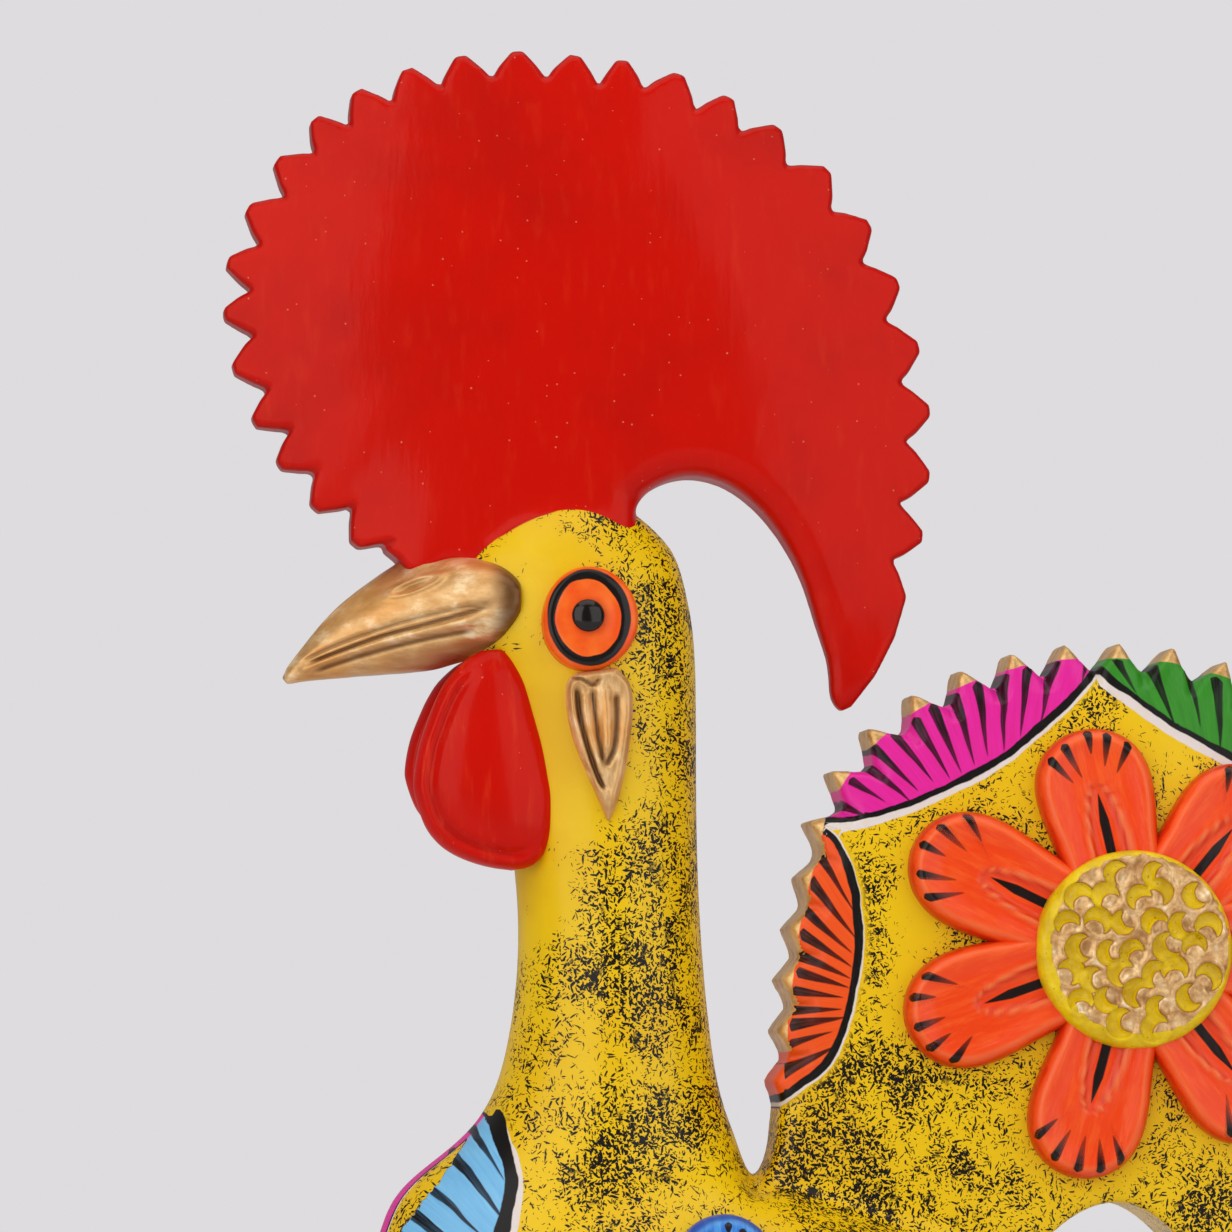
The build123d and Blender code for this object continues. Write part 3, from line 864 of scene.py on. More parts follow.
@dataclass(frozen=True)
class BrushedGold:
    """Bronze powder paint, brushed on, with painted shade darkening its hollows."""

    name: str = "brushed_gold"
    stroke_direction: tuple[float, float, float] = (0.35, 1.0, 1.0)

    def material(self) -> bpy.types.Material:
        """The finished material."""
        recipe = Recipe(self.name)
        hairs = recipe.grain(300.0, 5.0, 0.62, place=recipe.stretched(*self.stroke_direction))
        cloud = recipe.grain(60.0, 4.0, 0.6)
        colour = recipe.over(recipe.ramp(hairs, 0.3, 0.68), tint(200, 148, 88), tint(232, 188, 128))
        colour = recipe.over(recipe.ramp(recipe.plus(hairs, cloud), 1.0, 1.25), colour, tint(250, 222, 178))
        warm = recipe.ramp(recipe.grain(34.0, 3.0, 0.55), 0.5, 0.7, 0.0, 0.5)
        colour = recipe.over(warm, colour, tint(236, 164, 82))
        _, painted_hollow_shade, _, red, _ = recipe.stored("edges")
        colour = recipe.over(recipe.times(red, recipe.ramp(hairs, 0.3, 0.6)), colour, tint(168, 62, 40))
        # Painted shade: dark brown where the stored shade is high
        colour = recipe.over(recipe.ramp(painted_hollow_shade, 0.08, 0.95, 0.0, 0.92), colour, tint(92, 54, 20))
        normal = recipe.relief(hairs, 0.16, 0.7, on=recipe.relief(cloud, 0.5, 0.5))
        rough = recipe.ramp(hairs, 0.25, 0.75, 0.32, 0.46)
        return recipe.glaze(colour, rough, normal, 0.5, 0.2)


# ---- the painted skin -----------------------------------------------------------------------


@dataclass(frozen=True)
class Fan:
    """One painted fan: its rim, its inner line, and the place its strokes point to."""

    colour: tuple[float, float, float, float]
    rim: Points
    line: Points
    focus: tuple[float, float]
    strokes: int
    bands: tuple[float, float] = (2.2, 1.2)
    line_half: float = 0.95
    overhang: float = 16.0
    rise: float = 2.0


@dataclass
class FanField:
    """What the fans give to each vertex: distances, brush numbers and colours."""

    line: np.ndarray
    brush: np.ndarray
    colour: np.ndarray

    @classmethod
    def empty(cls, count: int) -> "FanField":
        """A field with no fan in it."""
        return cls(np.full(count, 60.0), np.zeros((count, 4)), np.tile(np.array(GREEN), (count, 1)))

    def add(self, fan: Fan, places: np.ndarray, chosen: np.ndarray, limit: object = -99.0) -> None:
        """Adds a fan wherever it is nearer than those already there.

        Args:
            fan: The fan, in the same flat coordinates as the places.
            places: One row of two numbers for each vertex.
            chosen: The vertices that it may be painted on.
            limit: How far each vertex lies beyond a straight edge that cuts the fan off.
        """
        line, rim = smooth_line(fan.line), smooth_line(fan.rim)
        focus = np.array(fan.focus)
        away = rim + (rim - focus) / np.linalg.norm(rim - focus, axis=1)[:, None] * fan.overhang
        loop = np.vstack([line, rim[-1:], away[::-1], rim[:1]])
        gap, along = line_distance(places, line)
        depth_gap, _ = line_distance(places, rim)
        inside = inside_loop(places, loop)
        signed = np.maximum(np.where(inside, -gap, gap), limit)
        arm = places - focus
        middle = rim[len(rim) // 2] - focus
        turn = math.atan2(middle[1], middle[0])
        spin = (np.arctan2(arm[:, 1], arm[:, 0]) - turn + math.pi) % (2 * math.pi) - math.pi
        ends = [math.atan2(*(end - focus)[::-1]) - turn for end in (rim[0], rim[-1])]
        ends = [(end + math.pi) % (2 * math.pi) - math.pi for end in ends]
        span = ends[1] - ends[0]
        count = (spin - ends[0]) / span * fan.strokes
        spacing = np.linalg.norm(arm, axis=1) * abs(span) / fan.strokes
        within = inside_loop(places, np.vstack([line, rim[::-1]]))
        depth_gap = np.where(within, depth_gap, -depth_gap) + fan.rise
        depth = np.clip(depth_gap / (np.abs(depth_gap) + gap + 0.001), -1, 1)
        band = fan.bands[0] + (fan.bands[1] - fan.bands[0]) * np.sqrt(along)
        nearer = chosen & (signed < self.line)
        self.line = np.where(nearer, signed, self.line)
        rows = np.stack([count, depth, spacing, band], axis=1)
        self.brush = np.where(nearer[:, None], rows, self.brush)
        paint = np.array([*fan.colour[:3], fan.line_half])
        self.colour = np.where(nearer[:, None], paint, self.colour)


TAIL_ROOT = (36.0, 280.3)
TAIL_RADIUS = 86.0
TAIL_MIDDLE = (94.5, 328.7)
TAIL_FLOWER = (95.7, 337.5)
TAIL_RIM_SHARES: Points = (
    (-0.305, 0.203), (-0.280, 0.543), (-0.215, 0.893), (-0.055, 1.203), (0.230, 1.408),
    (0.580, 1.488), (0.970, 1.443), (1.290, 1.243), (1.530, 0.933), (1.625, 0.543),
    (1.635, 0.163), (1.600, -0.237), (1.510, -0.587), (1.450, -0.790),
)


def tail_rim() -> np.ndarray:
    """The line through the valleys of the tail's scallops."""
    rim = [(TAIL_ROOT[0] + TAIL_RADIUS * x, TAIL_ROOT[1] + TAIL_RADIUS * z) for x, z in TAIL_RIM_SHARES]
    return smooth_line(tuple(rim), 16)


def rim_part(start: tuple[float, float], end: tuple[float, float], pieces: int = 9) -> Points:
    """Part of the tail's rim between the points nearest to two places.

    Args:
        start, end: Places in the side view.
        pieces: How many points the part has, less one.

    Returns:
        The points in order.
    """
    rim = tail_rim()
    first = int(np.argmin(np.linalg.norm(rim - np.array(start), axis=1)))
    last = int(np.argmin(np.linalg.norm(rim - np.array(end), axis=1)))
    picks = np.linspace(first, last, pieces + 1).round().astype(int)
    return tuple((float(rim[i][0]), float(rim[i][1])) for i in picks)


TAIL_FANS: tuple[Fan, ...] = (
    Fan(
        MAGENTA,
        rim_part((16.0, 368.5), (90.0, 408.5)),
        ((15.5, 369.5), (24.8, 369.3), (34.8, 371.5), (44.8, 375.0), (54.5, 379.5), (64.5, 384.8), (74.3, 392.8),
         (81.8, 399.3), (88.6, 407.0), (90.5, 409.5)),
        (65.0, 354.0),
        14,
        (3.2, 1.1),
    ),
    Fan(
        GREEN,
        rim_part((90.0, 408.5), (164.0, 366.5)),
        ((88.5, 409.0), (92.0, 405.0), (96.5, 401.5), (105.5, 395.0), (114.8, 389.5), (124.0, 384.5), (136.0, 376.5),
         (148.0, 369.0), (158.0, 365.5), (166.0, 364.5)),
        (119.9, 358.0),
        13,
        (2.6, 2.4),
    ),
    Fan(
        tint(240, 84, 22),
        rim_part((11.0, 297.5), (16.0, 368.5)),
        ((7.5, 299.3), (13.8, 303.8), (19.8, 308.8), (23.3, 314.8), (25.8, 322.3), (27.5, 329.8), (28.5, 337.3),
         (28.5, 344.8), (27.5, 352.5), (25.3, 360.5), (21.5, 366.5), (15.0, 369.5)),
        (41.0, 323.0),
        12,
        (1.4, 0.7),
        rise=0.5,
    ),
    Fan(
        ORANGE,
        rim_part((165.5, 366.0), (176.0, 290.0)),
        ((166.0, 366.5), (159.0, 360.0), (155.5, 350.0), (154.0, 338.0), (154.0, 326.0), (156.0, 313.0),
         (160.5, 301.0), (167.0, 293.5), (176.5, 289.0)),
        (138.0, 330.0),
        12,
        (2.0, 1.2),
    ),
    Fan(
        SKY,
        rim_part((176.0, 289.0), (160.0, 212.0)),
        ((176.5, 289.5), (167.0, 286.0), (158.0, 278.0), (150.5, 266.0), (146.0, 252.0), (145.5, 238.0),
         (148.5, 226.0), (154.0, 216.0), (161.5, 208.5)),
        (128.0, 262.0),
        13,
        (2.2, 1.2),
    ),
)


BREAST_FAN = Fan(
    SKY,
    ((-64.0, 296.0), (-75.0, 281.0), (-86.0, 266.0), (-92.0, 248.0), (-91.0, 229.0), (-84.0, 212.0)),
    ((-61.4, 297.0), (-60.1, 290.0), (-58.6, 282.8), (-59.2, 275.0), (-62.6, 264.0), (-67.6, 248.0), (-73.5, 232.0),
     (-80.5, 217.0), (-86.0, 207.0)),
    (-36.0, 236.0),
    12,
    (0.2, 4.6),
    1.8,
    0.6,
)


def skirt_fans(count: int, base: float, depth: float, radius: float, palette: tuple) -> list[Fan]:
    """A ring of fans round a foot, in coordinates unrolled round the bird's upright axis.

    Args:
        count: How many fans there are.
        base: The height of their rims.
        depth: How high they reach.
        radius: The radius at which the ring is unrolled.
        palette: Their colours in turn.

    Returns:
        The fans, which repeat once past each end of the ring.
    """
    width = 2 * math.pi * radius / count
    fans = []
    for number in range(-1, count + 1):
        left = -math.pi * radius + width * number
        rim = tuple((left + width * share, base) for share in (0.0, 0.25, 0.5, 0.75, 1.0))
        arch = ((0.0, -0.04), (0.10, 0.52), (0.28, 0.86), (0.5, 1.0), (0.72, 0.86), (0.90, 0.52), (1.0, -0.04))
        line = tuple((left + width * share, base + depth * rise) for share, rise in arch)
        focus = (left + width / 2, base + depth * 1.9)
        fans.append(Fan(palette[number % len(palette)], rim, line, focus, 9, (1.8, 1.8)))
    return fans


@dataclass
class PaintedBody:
    """The bird's body, neck, head and tail as one closed clay skin."""

    voxel: float = 1.6
    crown_line: Points = (
        (-90.0, 420.0), (-76.0, 432.5), (-65.0, 437.5), (-55.0, 443.0),
        (-45.0, 446.8), (-35.0, 448.3), (-28.0, 446.5), (-26.0, 444.0),
    )
    skirt_radius: float = 52.0
    gilt_start: float = 2.3
    rim_radius: float = 1.8
    rim_thin: float = 0.86
    rim_width: float = 6.5
    clusters: tuple[tuple[float, float, float, float, float], ...] = (
        (-29.5, 337.5, 15.0, 11.0, 0.46), (-24.0, 310.0, 17.0, 13.0, 0.16), (-24.8, 290.6, 17.0, 12.0, 0.40),
        (-43.0, 384.0, 8.0, 22.0, -0.70), (-17.0, 366.0, 12.0, 14.0, 0.16), (-53.0, 352.0, 9.0, 14.0, -0.80),
        (-60.0, 302.0, 8.0, 16.0, -0.22), (-14.0, 404.0, 12.0, 34.0, 0.20), (-33.0, 442.0, 10.0, 6.0, 0.20),
        (-50.0, 402.0, 12.0, 34.0, -0.80), (-48.0, 434.0, 9.0, 9.0, -0.45), (32.0, 286.0, 30.0, 19.0, 0.32),
        (30.0, 345.0, 6.0, 24.0, 0.24), (88.0, 401.0, 8.0, 7.0, 0.22), (118.0, 276.0, 14.0, 12.0, 0.34),
        (44.0, 348.0, 7.0, 16.0, -0.30), (134.0, 392.0, 9.0, 8.0, 0.14),
    )
    piece: bpy.types.Object = field(init=False)
    tree: BVHTree = field(init=False)
    outline: np.ndarray = field(init=False)

    def body_shell(self) -> bmesh.types.BMesh:
        """The outer wall of the body's two halves, closed at the waist and crown."""
        shell = bmesh.new()
        for side in Side:
            half = node_copy(f"body_{side.name.lower()}")
            keep_faces(half, [face for face in half.faces if face.normal.y * side.value > 1e-4])
            add_shape(shell, half)
        for vert in shell.verts:
            if abs(vert.co.y) < 0.0003:
                vert.co.y = 0.0
        bmesh.ops.remove_doubles(shell, verts=shell.verts, dist=0.0002)
        close_up(shell)
        return shell

    def make(self) -> None:
        """Builds the skin from the body's shell and the tail's two faces."""
        shell = self.body_shell()
        tail, self.outline = slab("tail", (-2.5, -4.0), 1.2)
        add_shape(shell, tail)
        self.piece = remeshed(as_piece(shell, "painted_body"), self.voxel)
        mesh = self.piece.data
        places = places_of(mesh)
        x, z = places[:, 0], places[:, 2]
        on_tail = (np.hypot(x - TAIL_MIDDLE[0], z - TAIL_MIDDLE[1]) < 110) | (z < 330)
        on_tail &= (np.abs(places[:, 1]) < 20) & (x > 6) & ((x > 70) | (z > 296))
        near = np.full(len(places), 99.0)
        near[on_tail] = edge_distance(places[on_tail][:, [0, 2]], self.outline)
        self.split_rim(mesh, near < self.rim_width)
        places = places_of(mesh)
        x, z = places[:, 0], places[:, 2]
        from_middle = np.hypot(x - TAIL_MIDDLE[0], z - TAIL_MIDDLE[1])
        soften(mesh, (x < 0) | (z < 250) | (from_middle < 76), 3, 0.5)
        move_vertices(mesh, self.pleat(places_of(mesh)))
        soften(mesh, np.ones(len(places), bool), 1, 0.4)
        # The tail grows out of the back in one smooth hollow
        below = ((x < 66) | ((x < 96) & (z < 268))) & (z > 226) & (z < 300) & (x > -12)
        root = below & ~((z > 296) & (from_middle < TAIL_RADIUS + 8))
        crotch = np.hypot(x - 4, z - 286) < 14
        soften(mesh, root & ~crotch, 24, 0.5)
        soften(mesh, root, 7, 0.5)
        # The slot between neck and tail is deep, with an upright wall on the tail's side
        places = places_of(mesh)
        x, z = places[:, 0], places[:, 2]
        places[:, 2] -= 7.0 * mound(x, z, (3.0, 286.0), (6.0, 7.0))
        places[:, 0] -= 2.3 * mound(x, z, (12.0, 296.0), (6.0, 5.5))
        places[:, 0] += 0.3 * mound(x, z, (7.0, 284.0), (4.0, 5.0))
        # The back of the head is full
        back = mound(x, z, (-16.0, 438.0), (9.0, 10.0))
        places[:, 0] += 1.8 * back
        places[:, 2] += 1.2 * back
        move_vertices(mesh, places)
        soften(mesh, np.hypot(x - 6, z - 288) < 15, 2, 0.5)
        self.tree = tree_of(self.piece)

    def split_rim(self, mesh: bpy.types.Mesh, chosen: np.ndarray) -> None:
        """Halves the squares of the skin along the tail's rim."""
        bm = bmesh.new()
        bm.from_mesh(mesh)
        bm.verts.ensure_lookup_table()
        edges = [edge for edge in bm.edges if chosen[edge.verts[0].index] and chosen[edge.verts[1].index]]
        bmesh.ops.subdivide_edges(bm, edges=edges, cuts=1, use_grid_fill=True)
        bm.to_mesh(mesh)
        bm.free()
        shade_smooth(mesh)

    def valleys(self) -> np.ndarray:
        """The places between the tail's scallops."""
        ends = self.outline.reshape(-1, 2)
        gap, along = line_distance(ends, tail_rim())
        order = np.argsort(along)
        found, last = [], -1.0
        for i in order:
            if gap[i] > 0.6 or ends[i][0] < 3:
                continue
            if along[i] - last > 0.008:
                found.append(i)
            elif gap[i] < gap[found[-1]]:
                found[-1] = i
            last = along[i]
        return ends[found]

    def pleat(self, places: np.ndarray) -> np.ndarray:
        """Sharpens the tail's scallops and presses a crease in from each valley.

        Args:
            places: The skin's vertices.

        Returns:
            The moved vertices.
        """
        flat = places[:, [0, 2]]
        middle = np.array(TAIL_MIDDLE)
        near = np.full(len(places), 99.0)
        on_rim = (np.abs(places[:, 1]) < 20) & (flat[:, 0] > 5) & (np.linalg.norm(flat - middle, axis=1) > 70)
        on_rim &= (flat[:, 1] > 250) | (flat[:, 0] > 140)
        near[on_rim] = edge_distance(flat[on_rim], self.outline)
        chosen = near < 10
        gap = np.full(int(chosen.sum()), 99.0)
        crease = gap.copy()
        inward = gap.copy()
        for valley in self.valleys():
            out = (valley - middle) / np.linalg.norm(valley - middle)
            arm = flat[chosen] - valley
            gap = np.minimum(gap, np.linalg.norm(arm, axis=1))
            depth = -(arm @ out)
            aside = np.linalg.norm(arm + depth[:, None] * out, axis=1)
            nearer = aside < crease
            crease = np.where(nearer, aside, crease)
            inward = np.where(nearer, depth, inward)
        away = flat[chosen] - middle
        away /= np.linalg.norm(away, axis=1)[:, None]
        low = self.front_side(flat[chosen])
        steps = (0.0, 2.5, 4.9, 6.6, 7.8)
        push = np.interp(gap, steps, (-3.0, -2.6, -1.6, 0.6, 2.2)) * (1 - low)
        push += np.interp(gap, steps, (-1.9, -2.4, -2.6, -2.0, -1.3)) * low
        push *= smooth_step(8.0, 0.5, near[chosen])
        press = 0.13 * bell(crease, 1.2) * smooth_step(6.0, 0.0, inward)
        rise = 1 - np.clip(near[chosen] / self.rim_radius, 0, 1)
        edge = self.rim_thin + (1 - self.rim_thin) * rounding(rise)
        places[chosen, 0] += away[:, 0] * push
        places[chosen, 2] += away[:, 1] * push
        places[chosen, 1] *= (1 - press) * edge
        return places

    @staticmethod
    def front_side(flat: np.ndarray) -> np.ndarray:
        """How far places lie on the tail's front side, where the scallops are shallow, from 0 to 1."""
        return smooth_step(34, 16, flat[:, 0]) * smooth_step(376, 356, flat[:, 1])

    def surface(self, side: Side, x: np.ndarray, z: np.ndarray) -> tuple[np.ndarray, np.ndarray]:
        """The bird's surface behind places of the side view.

        Args:
            side: The side that is looked at.
            x, z: The places, in millimetres.

        Returns:
            The points on the surface and its outward directions.
        """
        points = np.zeros((len(x), 3))
        normals = np.zeros((len(x), 3))
        look = Vector((0, -side.value, 0))
        for i, (px, pz) in enumerate(zip(x, z)):
            hit, normal, _, _ = self.tree.ray_cast(Vector((px * MM, side.value * 0.2, pz * MM)), look)
            if hit is None:
                hit, normal = Vector((px * MM, side.value * 0.012, pz * MM)), -look
            points[i] = np.array(hit) / MM
            normals[i] = normal
        return points, normals

    def speckle_density(self, places: np.ndarray) -> np.ndarray:
        """How close the black dabs lie at each vertex, up to 1, and well below 0 where there are none."""
        x, z = places[:, 0], places[:, 2]
        density = np.full(len(places), 0.44)
        for middle_x, middle_z, wide, high, amount in self.clusters:
            density += amount * mound(x, z, (middle_x, middle_z), (wide, high))
        flower = np.hypot(x - TAIL_FLOWER[0], z - TAIL_FLOWER[1])
        density -= 0.12 * bell(flower - 58, 9) * (x > 20)
        return np.clip(density, -0.6, 1)

    def paint(self) -> None:
        """Works out what is painted where and keeps it on the skin."""
        mesh = self.piece.data
        places = places_of(mesh)
        flat = places[:, [0, 2]]
        fans = FanField.empty(len(places))
        on_tail = (np.abs(places[:, 1]) < 24.0) & (np.hypot(flat[:, 0] - 94.5, flat[:, 1] - 318) < 145)
        on_tail &= (places[:, 2] > 190) & (flat[:, 0] > 4) & ((flat[:, 1] > 298) | (flat[:, 0] > 70))
        for fan in TAIL_FANS:
            fans.add(fan, flat, on_tail)
        for side, colour in ((Side.LEFT, SKY), (Side.RIGHT, MAGENTA)):
            fan = replace(BREAST_FAN, colour=colour, overhang=BREAST_FAN.overhang if side is Side.LEFT else 16.0)
            # A narrow pale band parts the two fans on the breast, below the yellow wedge
            out = places[:, 1] * side.value
            beyond = 0.0 if side is Side.LEFT else 7.5 * smooth_step(257, 263, flat[:, 1])
            fans.add(fan, flat, (out > -9) & (flat[:, 0] < 0), (1.0 - out - beyond) * 4)
        around = np.arctan2(places[:, 1], places[:, 0]) * self.skirt_radius
        unrolled = np.stack([around, places[:, 2]], axis=1)
        for fan in skirt_fans(6, 151.0, 24.0, self.skirt_radius, (GREEN, ORANGE, MAGENTA)):
            fans.add(fan, unrolled, places[:, 2] < 196.0)
        rim = tail_rim()
        gap, _ = line_distance(flat, rim)
        loop = np.vstack([rim, [[150.0, 200.0], [60.0, 250.0], [9.0, 290.0]]])
        from_rim = np.where(inside_loop(flat, loop) | ~on_tail, gap, -gap)
        beside_rim = (flat[:, 0] > 5) & ((flat[:, 1] > 312) | (flat[:, 0] > 142))
        start = self.gilt_start * (1 - 0.8 * self.front_side(flat))
        from_rim = np.where(on_tail & beside_rim, from_rim + start, 60.0)
        facing = np.array([vertex.normal[:] for vertex in mesh.vertices])
        wall = on_tail & beside_rim & (self.front_side(flat) > 0.5) & (facing[:, 0] < -0.5) & (flat[:, 0] < 24)
        from_rim[wall & (np.abs(facing[:, 1]) < 0.6)] = -1.5
        crown_gap, _ = line_distance(flat, smooth_line(self.crown_line))
        crown_loop = np.vstack([smooth_line(self.crown_line), [[-25.0, 480.0], [-100.0, 480.0]]])
        crown = np.where(inside_loop(flat, crown_loop), crown_gap, -crown_gap)
        store(mesh, "edges", np.stack([fans.line, from_rim, self.speckle_density(places), crown], axis=1))
        store(mesh, "fans", fans.brush)
        store(mesh, "fan_colour", fans.colour)


# ---- comb and wattles -----------------------------------------------------------------------


@dataclass
class Comb:
    """The serrated red comb, run into the head with a soft fillet."""

    voxel: float = 0.78
    seat: tuple[float, float] = (-41.5, 450.0)
    length: float = 177.0
    valley_shares: Points = (
        (-0.206, -0.113), (-0.240, -0.090), (-0.260, -0.064), (-0.318, -0.016), (-0.370, 0.034), (-0.407, 0.092),
        (-0.438, 0.150), (-0.459, 0.227), (-0.463, 0.291), (-0.451, 0.356), (-0.414, 0.424), (-0.373, 0.487),
        (-0.323, 0.527), (-0.263, 0.562), (-0.194, 0.585), (-0.121, 0.599), (-0.044, 0.600), (0.032, 0.590),
        (0.097, 0.588), (0.171, 0.558), (0.234, 0.527), (0.302, 0.479), (0.367, 0.415), (0.411, 0.340),
        (0.445, 0.258), (0.466, 0.169), (0.475, 0.085), (0.465, -0.004), (0.455, -0.085), (0.456, -0.140),
        (0.418, -0.245), (0.388, -0.294),
    )
    middle: tuple[float, float] = (-38.0, 488.0)
    arch_radius: float = 7.5
    arch_thin: float = 0.45
    tooth_radius: float = 1.3
    tooth_thin: float = 0.80
    slope_width: float = 44.0
    slope_thin: float = 0.62
    cap_base: float = 0.436
    cap_sink: float = 0.45
    fillet: float = 7.0
    piece: bpy.types.Object = field(init=False)

    def head_cap(self, body: PaintedBody) -> bmesh.types.BMesh:
        """The top of the head, a little under the painted skin, for the fillet to run out on.

        Args:
            body: The bird's finished skin.

        Returns:
            The closed cap.
        """
        cap = bmesh.new()
        cap.from_mesh(body.piece.data)
        everything = cap.verts[:] + cap.edges[:] + cap.faces[:]
        bmesh.ops.bisect_plane(
            cap, geom=everything, plane_co=(0, 0, self.cap_base), plane_no=(0, 0, -1), clear_outer=True
        )
        tail = [vert for vert in cap.verts if vert.co.x > 0.02]
        bmesh.ops.delete(cap, geom=tail, context="VERTS")
        cap.normal_update()
        for vert in cap.verts:
            vert.co -= vert.normal * self.cap_sink * MM
        close_up(cap)
        return cap

    def make(self, body: PaintedBody) -> None:
        """Builds the comb on the bird's head."""
        shape, outline = slab("comb", (0.0, -5.0), 1.6)
        add_shape(shape, self.head_cap(body))
        self.piece = remeshed(as_piece(shape, "comb"), self.voxel)
        mesh = self.piece.data
        places = places_of(mesh)
        flat = places[:, [0, 2]]
        near = edge_distance(flat, outline)
        junction = np.array([body.tree.find_nearest(Vector(place) * MM)[3] or 0.0 for place in places]) / MM
        free = smooth_step(2.5, 7.0, junction)
        middles = outline.mean(axis=1)
        in_arch = (middles[:, 0] > -30) & (middles[:, 0] < 29) & (middles[:, 1] < 460)
        for part, radius, thin in (
            (in_arch, self.arch_radius, self.arch_thin), (~in_arch, self.tooth_radius, self.tooth_thin)
        ):
            places = round_edge(places, edge_distance(flat, outline[part]), radius, 1 - (1 - thin) * free)
        # The faces fall away towards the teeth, more and more steeply
        valleys = tuple((self.seat[0] + self.length * x, self.seat[1] + self.length * z) for x, z in self.valley_shares)
        line = smooth_line(valleys, 5)
        gap, _ = line_distance(flat, line)
        beyond = ~inside_loop(flat, np.vstack([line, [(20.0, 400.0), (-20.0, 380.0), (-60.0, 400.0)]]))
        rise = np.clip(1 - np.where(beyond, -gap, gap) / self.slope_width, 0, 1.3)
        places[:, 1] *= 1 - (1 - self.slope_thin) * rise**2 * smooth_step(4.0, 34.0, junction)
        for valley in valleys[3:-3]:
            pull = np.array(self.middle) - valley
            pull *= 0.9 / np.linalg.norm(pull)
            share = bell(np.linalg.norm(flat - valley, axis=1), 1.8)
            places[:, 0] += pull[0] * share
            places[:, 2] += pull[1] * share
        move_vertices(mesh, places)
        soften(mesh, np.ones(len(places), bool), 1, 0.5)
        foot = smooth_step(self.fillet + 2, self.fillet - 3, junction) * smooth_step(-12, -16, flat[:, 0])
        soften(mesh, foot * smooth_step(-84, -72, flat[:, 0]), 50, 0.5)
        # Distance from the outline, which the red lacquer turns into painted shade along the edges; there is none near
        # the head
        rows = np.stack([near, near, near, near], axis=1)
        rows[junction < 9.0] += 6.0
        store(mesh, "edges", rows)
        dress(self.piece, RedLacquer().material(), "red_comb", "comb_left", "comb_right")


@dataclass
class Wattle:
    """One of the two red wattles under the beak, with a groove inside its rim."""

    side: Side
    top: tuple[float, float] = (-62.8, 411.6)
    height: float = 54.8
    length: float = 35.0
    width: float = 14.0
    spacing: float = 14.5
    groove: float = 1.4
    lip: float = 4.0
    shares: tuple[tuple[float, float, float, float], ...] = (
        (0.000, 0.000, 0.050, 0.120), (0.020, -0.018, 0.110, 0.160), (0.060, -0.035, 0.185, 0.240),
        (0.139, -0.055, 0.279, 0.350), (0.217, -0.069, 0.335, 0.400), (0.297, -0.078, 0.379, 0.440),
        (0.441, -0.082, 0.451, 0.490), (0.586, -0.077, 0.493, 0.500), (0.666, -0.063, 0.497, 0.495),
        (0.797, -0.037, 0.455, 0.450), (0.877, -0.008, 0.392, 0.390), (0.930, 0.030, 0.315, 0.310),
        (0.968, 0.075, 0.215, 0.220), (0.990, 0.110, 0.110, 0.110), (1.000, 0.125, 0.000, 0.000),
    )

    def make(self) -> None:
        """Builds the wattle and dresses it."""
        bm = bmesh.new()
        bmesh.ops.create_uvsphere(bm, u_segments=96, v_segments=72, radius=1.0)
        piece = as_piece(bm, f"wattle_{self.side.name.lower()}")
        ball = places_of(piece.data) * MM
        down = (1 - ball[:, 2]) / 2
        table = smooth_line(self.shares)
        drop = np.arccos(np.clip(ball[:, 2], -1, 1)) / math.pi
        depth = 0.35 * down + 0.65 * drop
        middle, half_length, half_width = (np.interp(depth, table[:, 0], table[:, i]) for i in (1, 2, 3))
        around = np.arctan2(ball[:, 1], ball[:, 0])
        x = self.top[0] + self.length * (middle + half_length * np.cos(around))
        z = self.top[1] - self.height * depth
        thick = self.width * half_width * np.sin(around)
        edge_z = self.top[1] - self.height * table[:, 0]
        front, back = (
            np.stack([self.top[0] + self.length * (table[:, 1] + end * table[:, 2]), edge_z], axis=1)
            for end in (-1, 1)
        )
        loop = np.vstack([front, back[::-1]])
        gap, along = line_distance(np.stack([x, z], axis=1), loop)
        fade = smooth_step(0.64, 0.52, along) * smooth_step(0.03, 0.10, along)
        rim = bell(gap - self.lip, 1.2)
        bead = bell(gap - self.lip * 0.45, 1.3)
        bulge = np.abs(thick) + (0.5 * bead - self.groove * rim) * fade
        y = self.side.value * self.spacing + np.sign(thick) * np.clip(bulge, 0, None)
        move_vertices(piece.data, np.stack([x, y, z], axis=1))
        rows = np.zeros((len(x), 4))
        # Painted shade in the groove inside the rim, read by the red lacquer
        rows[:, 0] = 3.0 - 2.5 * rim * fade
        store(piece.data, "edges", rows)
        finish = RedLacquer("red_wattle", (1.0, 1.0, 0.12), 260.0, 0.5).material()
        dress(piece, finish, "red_wattle", f"wattle_{self.side.name.lower()}")


# ---- eyes, beak and ear lobes ---------------------------------------------------------------


def turned(profile: list[tuple[float, float]], steps: int) -> bmesh.types.BMesh:
    """A shape turned about the upright axis.

    Args:
        profile: Its outline as radius and height in millimetres, from one pole to the other.
        steps: How many steps the turn has.

    Returns:
        The closed shape with its faces outwards.
    """
    bm = bmesh.new()
    verts = [bm.verts.new((radius * MM, 0, height * MM)) for radius, height in profile]
    edges = [bm.edges.new(pair) for pair in zip(verts, verts[1:])]
    bmesh.ops.spin(
        bm, geom=verts + edges, cent=(0, 0, 0), axis=(0, 0, 1), angle=2 * math.pi, steps=steps, use_merge=True
    )
    bmesh.ops.remove_doubles(bm, verts=bm.verts, dist=0.000005)
    bmesh.ops.recalc_face_normals(bm, faces=bm.faces)
    return bm


